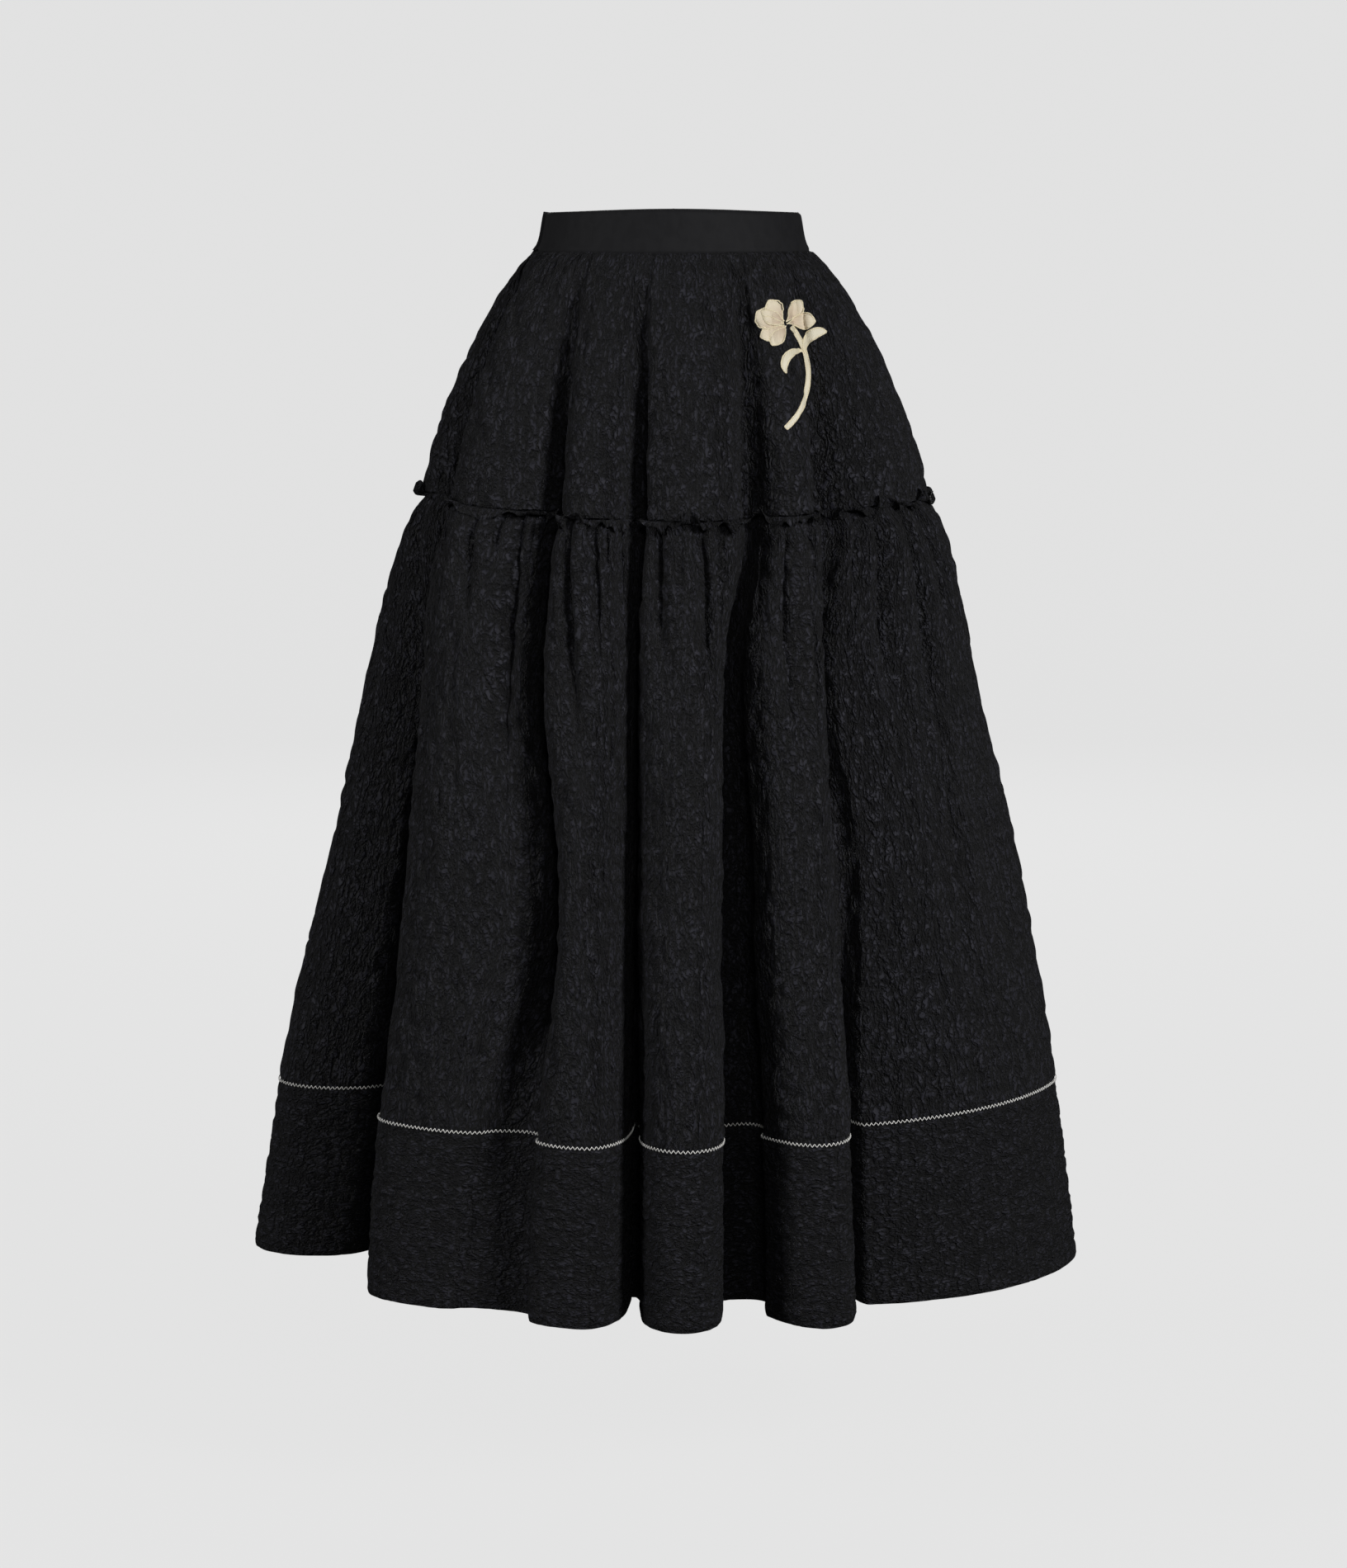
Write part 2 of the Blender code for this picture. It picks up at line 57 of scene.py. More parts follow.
class Ring(NamedTuple):
    """A level cloth line. fold is 0 where the long folds start, 1 at the tier seam, 2 at the hem."""

    name: str
    side_z: float
    front_z: float
    back_z: float
    half_width: float
    front_depth: float
    back_depth: float
    fold: float
    left_lift: float


RINGS = (
    Ring("band_top", 0.0150, 0.0172, 0.0180, 0.1052, 0.0835, 0.0850, 0.00, 0.000),
    Ring("waist_seam", -0.0155, -0.0168, -0.0160, 0.1137, 0.0885, 0.0900, 0.00, 0.000),
    Ring("yoke", -0.0340, -0.0375, -0.0370, 0.1312, 0.1010, 0.1060, 0.12, 0.000),
    Ring("high_hip", -0.0610, -0.0670, -0.0660, 0.1475, 0.1135, 0.1220, 0.32, 0.000),
    Ring("mid_hip", -0.1160, -0.1240, -0.1230, 0.1738, 0.1330, 0.1460, 0.60, 0.000),
    Ring("hip", -0.1710, -0.1810, -0.1800, 0.1944, 0.1475, 0.1620, 0.84, 0.000),
    Ring("tier_seam", -0.2185, -0.2310, -0.2290, 0.2037, 0.1580, 0.1730, 1.00, 0.000),
    Ring("puff", -0.2540, -0.2670, -0.2650, 0.2140, 0.1680, 0.1830, 1.12, 0.000),
    Ring("thigh", -0.3090, -0.3220, -0.3200, 0.2222, 0.1765, 0.1920, 1.27, 0.000),
    Ring("knee", -0.4210, -0.4320, -0.4300, 0.2386, 0.1925, 0.2060, 1.50, 0.000),
    Ring("calf", -0.5340, -0.5430, -0.5410, 0.2560, 0.2065, 0.2185, 1.68, 0.002),
    Ring("low_calf", -0.6470, -0.6530, -0.6520, 0.2746, 0.2190, 0.2300, 1.84, 0.007),
    Ring("hem_seam", -0.7140, -0.7180, -0.7170, 0.2840, 0.2265, 0.2365, 1.90, 0.011),
    Ring("hem_middle", -0.7860, -0.7900, -0.7890, 0.2930, 0.2330, 0.2420, 1.96, 0.006),
    Ring("hem", -0.8560, -0.8600, -0.8590, 0.3020, 0.2385, 0.2470, 2.00, 0.000),
)
RING_INDEX = {ring.name: index for index, ring in enumerate(RINGS)}


class Fold(NamedTuple):
    """A long fold and the trough after it: angles in degrees from straight ahead, heights in metres.

    seam_crest, seam_trough and seam_dip are at the tier seam and the rest at the hem. fullness is how
    round the crest is, and bulge how far the trough's floor is wider than its mouth.
    """

    name: str
    seam_crest: float
    seam_trough: float
    seam_dip: float
    left_at: float
    crest_at: float
    right_at: float
    crest: float
    fullness: float
    trough_at: float
    dip: float
    bulge: float


FOLDS = (
    Fold("side_left", 0.008, -90.0, -0.055, -106.0, -88.0, -78.5, 0.056, 1.0, -97.0, -0.070, 0.0),
    Fold("front_left", 0.010, -37.3, -0.030, -59.5, -50.0, -38.0, 0.037, 1.0, -29.5, 0.0120, 0.0),
    Fold("inner_left", 0.010, -10.6, -0.030, -24.5, -14.5, -9.2, 0.050, 1.0, -11.5, -0.058, 0.0),
    Fold("centre", 0.012, 25.0, -0.032, -6.5, 1.5, 9.0, 0.056, 0.8, 16.0, -0.045, 4.0),
    Fold("inner_right", 0.010, 45.0, -0.018, 17.0, 23.9, 32.5, 0.061, 0.4, 41.0, -0.034, 0.0),
    Fold("front_right", 0.020, 88.0, -0.014, 36.5, 78.0, 94.0, 0.046, 0.2, 101.0, -0.040, 0.0),
    Fold("side_right_back", 0.012, 117.0, -0.012, 107.0, 114.0, 121.0, 0.050, 1.0, 127.0, -0.042, 0.0),
    Fold("back_right", 0.010, 149.0, -0.015, 133.0, 141.0, 148.0, 0.050, 1.0, 154.0, -0.046, 1.0),
    Fold("back_centre_right", 0.010, 180.0, -0.010, 159.0, 166.0, 174.0, 0.044, 0.9, 180.0, -0.040, 0.0),
    Fold("back_centre_left", 0.010, 207.0, -0.014, 185.0, 191.0, 197.0, 0.052, 1.0, 203.0, -0.048, 1.5),
    Fold("back_left", 0.010, 235.0, -0.011, 209.0, 215.0, 221.0, 0.044, 0.8, 227.0, -0.038, 0.0),
    Fold("side_left_back", 0.010, 260.0, -0.015, 232.0, 238.0, 243.0, 0.048, 1.0, 247.5, -0.044, 0.0),
)
FOLD_INDEX = {fold.name: index for index, fold in enumerate(FOLDS)}
SIDE_SEAM_RIGHT = 6
CENTRE_BACK = 9
ALL_FOLDS = len(FOLDS)


class Bend(NamedTuple):
    """How far a front fold departs from its straight run between the tier seam and the hem.

    level is 0 at the tier seam and above, 1 a third of the way down and 2 two thirds, and the front_left
    row of level 0 widens that fold. On side_left it turns the fold's right flank past the trough up to
    the waist, so the cloth doubles back there for about 2 degrees. left, right and trough are
    degrees that the flanks and the trough after it turn, dip metres that its trough rises and crest
    metres that its crest does.
    """

    fold: str
    level: int
    left: float
    right: float
    trough: float
    dip: float
    crest: float


BENDS = (
    Bend("side_left", 0, 0.0, 6.0, 0.0, 0.000, 0.000),
    Bend("side_left", 1, 0.0, 4.0, -1.5, -0.006, -0.001),
    Bend("side_left", 2, 0.0, 2.0, -1.3, -0.002, -0.002),
    Bend("front_left", 0, 19.0, 0.0, 0.0, 0.000, 0.000),
    Bend("front_left", 1, 10.5, 1.6, -3.0, -0.017, 0.000),
    Bend("front_left", 2, 6.5, 10.2, 5.2, -0.029, 0.000),
    Bend("inner_left", 0, 0.0, -1.5, 0.0, 0.000, 0.000),
    Bend("inner_left", 1, -1.9, -0.4, -0.2, -0.002, 0.000),
    Bend("inner_left", 2, 3.4, 0.5, 0.5, 0.000, 0.000),
    Bend("centre", 0, -0.8, 0.0, 0.0, 0.000, 0.000),
    Bend("centre", 1, -2.1, -4.0, -4.5, -0.007, 0.000),
    Bend("centre", 2, -0.6, -2.2, -2.4, 0.000, 0.000),
    Bend("inner_right", 1, -5.6, -2.4, -5.2, -0.005, 0.000),
    Bend("inner_right", 2, -3.2, -3.2, -5.2, 0.032, 0.000),
    Bend("front_right", 1, -4.4, 0.0, 0.0, 0.000, 0.003),
    Bend("front_right", 2, -2.4, 0.0, 0.0, 0.000, 0.006),
)
SEAM_FLANK_DEG = 3.4
WAIST_SPREAD_DEG = 8.0
FLANK_SHARE = 0.22
SEAM_FULLNESS = 0.45


class Gather(NamedTuple):
    """A pinched valley under the tier seam: where it starts and ends, in folds round, and its metres."""

    seam_turn: float
    low_turn: float
    length: float
    depth: float


FRONT_GATHERS = (
    Gather(0.520, 0.660, 0.130, 0.010),
    Gather(0.620, 0.760, 0.140, 0.010),
    Gather(1.490, 1.520, 0.050, 0.007),
    Gather(1.578, 1.588, 0.090, 0.011),
    Gather(1.646, 1.640, 0.060, 0.008),
    Gather(1.702, 1.672, 0.240, 0.015),
    Gather(1.743, 1.730, 0.080, 0.010),
    Gather(1.779, 1.790, 0.100, 0.012),
    Gather(1.880, 1.872, 0.110, 0.010),
    Gather(2.395, 2.500, 0.200, 0.013),
    Gather(2.546, 2.613, 0.130, 0.012),
    Gather(2.631, 2.670, 0.060, 0.006),
    Gather(2.760, 2.750, 0.140, 0.009),
    Gather(3.322, 3.392, 0.130, 0.011),
    Gather(3.404, 3.440, 0.080, 0.009),
    Gather(3.493, 3.578, 0.140, 0.014),
    Gather(3.584, 3.630, 0.090, 0.011),
    Gather(4.210, 4.302, 0.100, 0.010),
    Gather(4.378, 4.430, 0.180, 0.014),
    Gather(4.560, 4.580, 0.090, 0.009),
    Gather(5.276, 5.270, 0.080, 0.009),
    Gather(5.354, 5.330, 0.160, 0.013),
    Gather(5.443, 5.404, 0.220, 0.013),
    Gather(5.516, 5.470, 0.150, 0.012),
    Gather(5.680, 5.700, 0.110, 0.009),
    Gather(5.840, 5.860, 0.140, 0.009),
)


def hidden_gathers(first: float, last: float, count: int, seed: int) -> tuple[Gather, ...]:
    """Gathers like the front's for the cloth that faces away, spaced unevenly.

    Args:
        first: fold at which they start.
        last: fold before which they end.
        count: how many there are.
        seed: sets the spacing.

    Returns:
        The gathers, in order round the body.
    """
    random = np.random.default_rng(seed)
    made = []
    for k in range(count):
        turn = first + (last - first) * (k + 0.5 + random.uniform(-0.32, 0.32)) / count
        lean = random.uniform(-0.03, 0.05)
        made.append(Gather(turn, turn + lean, random.uniform(0.06, 0.20), random.uniform(0.007, 0.014)))
    return tuple(made)


def eased(share: np.ndarray) -> np.ndarray:
    """A smooth step from 0 to 1."""
    share = np.clip(share, 0.0, 1.0)
    return share * share * (3.0 - 2.0 * share)


def unit(vectors: np.ndarray) -> np.ndarray:
    """The vectors at length one."""
    return vectors / np.maximum(np.linalg.norm(vectors, axis=-1, keepdims=True), 1e-12)


def smooth_noise(u: np.ndarray, v: np.ndarray, across: float, along: float, seed: int) -> np.ndarray:
    """Even, seeded noise over a flat cloth.

    Args:
        u: metres across the cloth.
        v: metres down it.
        across: metres from one bump to the next across.
        along: the same down the cloth.
        seed: sets the pattern.

    Returns:
        Values from -1 to 1.
    """
    size = 251
    table = np.random.default_rng(seed).uniform(-1.0, 1.0, (size, size))
    x, y = u / across, v / along
    column, row = np.floor(x).astype(int), np.floor(y).astype(int)
    fx, fy = eased(x - column), eased(y - row)
    left, right = column % size, (column + 1) % size
    upper, lower = row % size, (row + 1) % size
    top = table[left, upper] * (1 - fx) + table[right, upper] * fx
    bottom = table[left, lower] * (1 - fx) + table[right, lower] * fx
    return top * (1 - fy) + bottom * fy


@dataclass(frozen=True)
class Drape:
    """The worn cloth's outer surface. A turn counts folds round the body, a place rings down it."""

    gathers: tuple[Gather, ...]
    gather_swell: float = 0.016
    pinch_at_seam: float = 0.0034
    pinch_low: float = 0.0085
    puff: float = 0.0038
    puff_from: float = 0.04
    puff_over: float = 0.13
    depth_at_seam: float = 0.70
    depth_gain: float = 0.50
    fade_from: float = 0.35
    fade_over: float = 0.75
    extra_columns: float = 1.6
    extra_reach: float = 0.005
    samples_in_fold: int = 260
    sampled_rows: int = 24

    def ring(self, column: str, place: np.ndarray) -> np.ndarray:
        """A ring measure at a place between rings.

        Args:
            column: the measure's name.
            place: rings down from the band's top.

        Returns:
            The measure, eased so that the outline has no corners.
        """
        values = np.array([getattr(ring, column) for ring in RINGS])
        slopes = np.gradient(values)
        seam = RING_INDEX["waist_seam"]
        slopes[seam] = values[seam + 1] - values[seam]
        below = np.clip(np.floor(place).astype(int), 0, len(RINGS) - 2)
        part = place - below
        square, cube = part**2, part**3
        return (
            values[below] * (2 * cube - 3 * square + 1)
            + slopes[below] * (cube - 2 * square + part)
            + values[below + 1] * (3 * square - 2 * cube)
            + slopes[below + 1] * (cube - square)
        )

    def fold(self, turn: np.ndarray, stage: np.ndarray) -> tuple[np.ndarray, np.ndarray]:
        """The long folds.

        Args:
            turn: folds round the body.
            stage: how far the folds have opened, 0 to 2.

        Returns:
            Degrees from straight ahead, and metres off the ring.
        """
        index = np.floor(turn).astype(int)
        part = turn - index
        rounds, index = np.divmod(index, ALL_FOLDS)
        before = index - 1
        wrap = np.where(before < 0, -360.0, 0.0)
        lower = np.clip(stage - 1.0, 0.0, 1.0)
        upper = np.clip(stage, 0.0, 1.0)
        on_left = part < 0.5
        row = np.where(on_left, before, index)

        def of(column: str, rows: np.ndarray) -> np.ndarray:
            """The column's value for each fold in rows."""
            return np.array([getattr(fold, column) for fold in FOLDS])[rows]

        def between(seam: np.ndarray, hem: np.ndarray) -> np.ndarray:
            """From the tier seam's value to the hem's."""
            return seam + (hem - seam) * lower

        key = np.clip(lower * 3.0, 0.0, 2.999)
        level, share = np.floor(key).astype(int), eased(key % 1.0)

        def bent(part_of_fold: str, rows: np.ndarray) -> np.ndarray:
            """How far the bends move a part of each fold.

            Args:
                part_of_fold: the column's name.
                rows: which folds.

            Returns:
                Degrees or metres, eased from level to level.
            """
            table = np.zeros((4, ALL_FOLDS))
            for bend in BENDS:
                table[bend.level, FOLD_INDEX[bend.fold]] = getattr(bend, part_of_fold)
            return table[level, rows] * (1.0 - share) + table[level + 1, rows] * share

        seam_left, seam_right = of("seam_trough", before) + wrap, of("seam_trough", index)
        seam_trough = np.where(on_left, seam_left, seam_right)
        seam_flank = seam_trough + np.where(on_left, SEAM_FLANK_DEG, -SEAM_FLANK_DEG)
        hem_flank = np.where(on_left, of("left_at", index), of("right_at", index))
        trough_at = between(seam_trough, of("trough_at", row) + np.where(on_left, wrap, 0.0))
        trough_at = trough_at + bent("trough", row)
        flank_at = between(seam_flank, hem_flank)
        flank_at = flank_at + np.where(on_left, bent("left", index), bent("right", index))
        crest_at = between((seam_left + seam_right) / 2, of("crest_at", index))
        crest = (between(of("seam_crest", index), of("crest", index)) + bent("crest", index)) * upper
        dip = (between(of("seam_dip", row), of("dip", row)) + bent("dip", row)) * upper
        middle = (crest + dip) / 2
        across = np.where(on_left, part, 1.0 - part)
        dip_phase = np.clip(across / FLANK_SHARE, 0, 1) * math.pi / 2
        crest_share = np.clip((across - FLANK_SHARE) / (0.5 - FLANK_SHARE), 0, 1)
        crest_phase = crest_share * math.pi / 2
        bulge = of("bulge", row) * np.where(on_left, 1.0, -1.0) * lower
        trough_angle = trough_at + (flank_at - trough_at) * np.sin(dip_phase) + bulge * np.sin(2 * dip_phase)
        fullness = between(SEAM_FULLNESS, of("fullness", index))
        crest_angle = crest_at + (flank_at - crest_at) * (
            fullness * np.cos(crest_phase) + (1.0 - fullness) * (1.0 - crest_share)
        )
        in_trough = across < FLANK_SHARE
        angle = np.where(in_trough, trough_angle, crest_angle)
        stand = np.where(
            in_trough,
            middle + (dip - middle) * np.cos(dip_phase),
            middle + (crest - middle) * np.sin(crest_phase),
        )
        angle = angle + WAIST_SPREAD_DEG * (1.0 - upper) * np.sin(np.radians(2 * angle))
        return angle + 360.0 * rounds, stand

    def gather_height(self, turn: np.ndarray, below: np.ndarray, stretch: np.ndarray) -> np.ndarray:
        """The pinched gathers: knife-like under the seam, wider and softer further down.

        Args:
            turn: folds round the body.
            below: metres below the tier seam.
            stretch: metres of cloth in a whole turn there.

        Returns:
            Metres off the fold, raised between the valleys and sunk in them.
        """
        swell = eased(below / self.gather_swell)
        height = self.puff * swell * (1.0 - eased((below - self.puff_from) / self.puff_over))
        for gather in self.gathers:
            share = np.clip(below / gather.length, 0.0, 1.4)
            centre = gather.seam_turn + (gather.low_turn - gather.seam_turn) * np.clip(share, 0.0, 1.0)
            width = self.pinch_at_seam + (self.pinch_low - self.pinch_at_seam) * eased(share)
            gone = 1.0 - eased((share - self.fade_from) / self.fade_over)
            depth = gather.depth * (self.depth_at_seam + self.depth_gain * swell) * gone
            height = height - depth * np.exp(-np.abs(turn - centre) * stretch / width)
        return np.where(below > 0, height, 0.0)

    def beside_gathers(self, turn: np.ndarray, place: np.ndarray) -> np.ndarray:
        """Turns that keep to the same side of each gather all the way down.

        Args:
            turn: folds round the body at the tier seam, for each column.
            place: rings down from the band's top, for each row.

        Returns:
            The turns for each row and column.
        """
        ends = [Gather(turn[0], turn[0], 1.0, 0.0), Gather(turn[-1], turn[-1], 1.0, 0.0)]
        inside = [gather for gather in self.gathers if turn[0] < gather.seam_turn < turn[-1]]
        ordered = sorted(ends + inside, key=lambda gather: gather.seam_turn)
        seam = np.array([gather.seam_turn for gather in ordered])
        low = np.array([gather.low_turn for gather in ordered])
        length = np.array([gather.length for gather in ordered])
        below = RINGS[RING_INDEX["tier_seam"]].side_z - self.ring("side_z", place)
        share = np.clip(below[:, None] / length, 0.0, 1.0)
        return np.stack([np.interp(turn, seam, seam + (low - seam) * row) for row in share])

    def ungathered(self, turn: np.ndarray, place: np.ndarray, off: np.ndarray | float = 0.0) -> np.ndarray:
        """Points of the long folds alone.

        Args:
            turn: folds round the body.
            place: rings down from the band's top.
            off: metres outward from the folds.

        Returns:
            The points, in metres.
        """
        angle, stand = self.fold(turn, self.ring("fold", place))
        radians = np.radians(angle)
        front = np.cos(radians)
        depth = np.where(front > 0, self.ring("front_depth", place), self.ring("back_depth", place))
        radius = 1.0 / np.hypot(np.sin(radians) / self.ring("half_width", place), front / depth)
        side_z = self.ring("side_z", place)
        end_z = np.where(front > 0, self.ring("front_z", place), self.ring("back_z", place))
        height = side_z + (end_z - side_z) * front**2
        height = height + self.ring("left_lift", place) * np.clip(np.sin(radians), 0.0, 1.0) ** 2
        radius = radius + stand + off
        return np.stack([radius * np.sin(radians), -radius * front, height], axis=-1)

    def point(self, turn: np.ndarray, place: np.ndarray) -> np.ndarray:
        """Points of the outer surface.

        Args:
            turn: folds round the body.
            place: rings down from the band's top.

        Returns:
            The points, in metres.
        """
        turn, place = np.broadcast_arrays(np.asarray(turn, float), np.asarray(place, float))
        if np.max(place) < RING_INDEX["tier_seam"]:
            return self.ungathered(turn, place)
        seam = RINGS[RING_INDEX["tier_seam"]].side_z
        below = np.maximum(seam - self.ring("side_z", place), 1e-9)
        below = np.where(place >= RING_INDEX["tier_seam"], below, 0.0)
        step = 0.004
        across = self.ungathered(turn + step, place) - self.ungathered(turn - step, place)
        stretch = np.linalg.norm(across, axis=-1) / (2 * step)
        return self.ungathered(turn, place, self.gather_height(turn, below, stretch))

    def even_turns(self, first: float, last: float, places: np.ndarray, count: int) -> np.ndarray:
        """Columns at even distances along the cloth, but closer beside the gathers.

        Args:
            first: fold where the panel starts.
            last: fold where it ends.
            places: the panel's rows, from which the distance is averaged.
            count: how many strips the columns bound.

        Returns:
            The columns' turns.
        """
        turn = np.linspace(first, last, int((last - first) * self.samples_in_fold) + 1)
        every = max(1, len(places) // self.sampled_rows)
        grid = self.ungathered(turn[None, :], places[::every, None])
        step = np.linalg.norm(np.diff(grid, axis=1), axis=-1)
        step = (step / step.sum(axis=1, keepdims=True)).mean(axis=0)
        if places[0] >= RING_INDEX["tier_seam"] and places[-1] <= RING_INDEX["hem_seam"]:
            middle = (turn[1:] + turn[:-1]) / 2
            stretch = np.linalg.norm(np.diff(grid[0], axis=0), axis=-1) / np.diff(turn)
            for gather in self.gathers:
                off = (middle - gather.seam_turn) * stretch / self.extra_reach
                step = step * (1.0 + self.extra_columns * np.exp(-(off**2)))
        travelled = np.concatenate([[0.0], np.cumsum(step)])
        return np.interp(np.linspace(0.0, travelled[-1], count + 1), travelled, turn)

    def even_places(self, upper: str, lower: str, count: int) -> np.ndarray:
        """Rows at even heights between two rings.

        Args:
            upper: the upper ring's name.
            lower: the lower ring's name.
            count: how many strips the rows bound.

        Returns:
            The rows' places.
        """
        place = np.linspace(RING_INDEX[upper], RING_INDEX[lower], 400)
        down = -self.ring("side_z", place)
        return np.interp(np.linspace(down[0], down[-1], count + 1), down, place)


def linear(hex_colour: str) -> tuple[float, float, float, float]:
    """An sRGB hex colour as the linear one that shaders take.

    Args:
        hex_colour: six hex digits after a hash sign.

    Returns:
        Red, green, blue and an alpha of 1.
    """
    parts = [int(hex_colour[k : k + 2], 16) / 255 for k in (1, 3, 5)]
    made = [p / 12.92 if p <= 0.04045 else ((p + 0.055) / 1.055) ** 2.4 for p in parts]
    return (*made, 1.0)


def feed(tree: bpy.types.NodeTree, node: bpy.types.Node, inputs: dict[str | int, Any]) -> None:
    """Gives a node's sockets their values and links.

    Args:
        tree: the material's nodes.
        node: the node.
        inputs: for each socket, a value or the output socket that feeds it.
    """
    for socket, value in inputs.items():
        if isinstance(value, bpy.types.NodeSocket):
            tree.links.new(value, node.inputs[socket])
        else:
            node.inputs[socket].default_value = value


def add_node(
    tree: bpy.types.NodeTree,
    kind: str,
    settings: dict[str, Any] | None = None,
    inputs: dict[str | int, Any] | None = None,
) -> bpy.types.Node:
    """Adds a node with its settings, socket values and links.

    Args:
        tree: the material's nodes.
        kind: the node's type name.
        settings: attributes of the node.
        inputs: for each socket, a value or the output socket that feeds it.

    Returns:
        The node.
    """
    node = tree.nodes.new(kind)
    for name, value in (settings or {}).items():
        setattr(node, name, value)
    feed(tree, node, inputs or {})
    return node


def new_material(name: str) -> tuple[bpy.types.Material, bpy.types.NodeTree, bpy.types.Node]:
    """A plain material.

    Args:
        name: the finish's name.

    Returns:
        The material, its nodes and its shader.
    """
    material = bpy.data.materials.new(name)
    material.use_nodes = True
    return material, material.node_tree, material.node_tree.nodes["Principled BSDF"]


class Grain(Enum):
    """Which way the cloque's puckers run on a piece, as metres across and down for one of them."""

    UPRIGHT = (0.0042, 0.0100)
    CROSSWAYS = (0.0066, 0.0046)


@dataclass(frozen=True)
class CottonCloque:
    """Black cotton-blend cloque: double-woven, the back yarns shrunk so that the face blisters.

    The blisters are matt and soft. Their colour carries a painted highlight on the blister tops and painted
    shade, near black, in the thin winding creases between them.
    small_size is how much of a large blister a small one measures, across and down.
    """

    name: str
    grain: Grain
    # the ridge colour is a painted highlight on the blister tops and the crease colour is painted shade in
    # the creases; face is the cloth's own black
    ridge_highlight: str = "#25252D"
    face: str = "#121217"
    crease_shade: str = "#020203"
    face_at: float = 0.5
    roughness: float = 0.68
    ior: float = 1.47
    specular: float = 0.28
    sheen: float = 0.02
    sheen_roughness: float = 0.6
    pucker_height: float = 2.8 * MM
    small_height: float = 1.35 * MM
    small_size: tuple[float, float] = (0.55, 0.34)
    large_bend: float = 0.25
    small_bend: float = 0.15
    crease_scale: float = 0.62
    crease_steepness: float = 7.5
    blister_roundness: float = 0.62
    # real yarns are 0.25 mm apart; drawn at 0.9 mm, the finest that shows
    yarn: float = 0.9 * MM
    yarn_height: float = 0.05 * MM

    def creased(
        self, tree: bpy.types.NodeTree, place: bpy.types.NodeSocket, across: float, along: float, bend: float
    ) -> bpy.types.NodeSocket:
        """Blisters between winding creases: 0 in a crease and 1 on a blister.

        Args:
            tree: the material's nodes.
            place: the socket with the cloth's metres.
            across: metres across a blister.
            along: metres down a blister.
            bend: how far the creases wind.

        Returns:
            The socket with the height.
        """
        scaled = add_node(
            tree, "ShaderNodeMapping", inputs={"Vector": place, "Scale": (1 / across, 1 / along, 1.0)}
        )
        noise = add_node(
            tree,
            "ShaderNodeTexNoise",
            {"noise_dimensions": "2D"},
            {
                "Vector": scaled.outputs[0], "Scale": self.crease_scale,
                "Detail": 2.4, "Roughness": 0.5, "Distortion": bend,
            },
        )
        off = add_node(tree, "ShaderNodeMath", {"operation": "SUBTRACT"}, {0: noise.outputs[0], 1: 0.5})
        away = add_node(tree, "ShaderNodeMath", {"operation": "ABSOLUTE"}, {0: off.outputs[0]})
        wide = add_node(
            tree,
            "ShaderNodeMath",
            {"operation": "MULTIPLY", "use_clamp": True},
            {0: away.outputs[0], 1: self.crease_steepness},
        )
        rounded = {0: wide.outputs[0], 1: self.blister_roundness}
        return add_node(tree, "ShaderNodeMath", {"operation": "POWER"}, rounded).outputs[0]

    def material(self) -> bpy.types.Material:
        """The finish.

        Returns:
            Its material.
        """
        material, tree, shader = new_material(self.name)
        across, along = self.grain.value
        small_across, small_along = self.small_size
        place = add_node(tree, "ShaderNodeUVMap", {"uv_map": METRES_MAP}).outputs[0]
        large = self.creased(tree, place, across, along, self.large_bend)
        small = self.creased(tree, place, across * small_across, along * small_along, self.small_bend)
        yarn = add_node(
            tree,
            "ShaderNodeTexNoise",
            {"noise_dimensions": "2D"},
            {"Vector": place, "Scale": 1 / self.yarn, "Detail": 1.0},
        ).outputs[0]
        total = None
        for source, height in (
            (large, self.pucker_height),
            (small, self.small_height),
            (yarn, self.yarn_height),
        ):
            part = add_node(tree, "ShaderNodeMath", {"operation": "MULTIPLY"}, {0: source, 1: height})
            if total is not None:
                part = add_node(tree, "ShaderNodeMath", {"operation": "ADD"}, {0: total, 1: part.outputs[0]})
            total = part.outputs[0]
        bump = add_node(tree, "ShaderNodeBump", inputs={"Height": total, "Distance": 1.0, "Strength": 1.0})
        # painted shade and highlight: the colour follows the blister heights, near black in the creases and
        # lighter on the blister tops
        shade = add_node(tree, "ShaderNodeMath", {"operation": "MULTIPLY"}, {0: large, 1: small})
        ramp = add_node(tree, "ShaderNodeValToRGB", inputs={"Fac": shade.outputs[0]})
        ramp.color_ramp.elements[0].color = linear(self.crease_shade)
        ramp.color_ramp.elements[1].color = linear(self.ridge_highlight)
        ramp.color_ramp.elements.new(self.face_at).color = linear(self.face)
        feed(tree, shader, {
            "Base Color": ramp.outputs[0], "Normal": bump.outputs[0], "Roughness": self.roughness,
            "IOR": self.ior, "Specular IOR Level": self.specular, "Sheen Weight": self.sheen,
            "Sheen Roughness": self.sheen_roughness,
        })
        return material


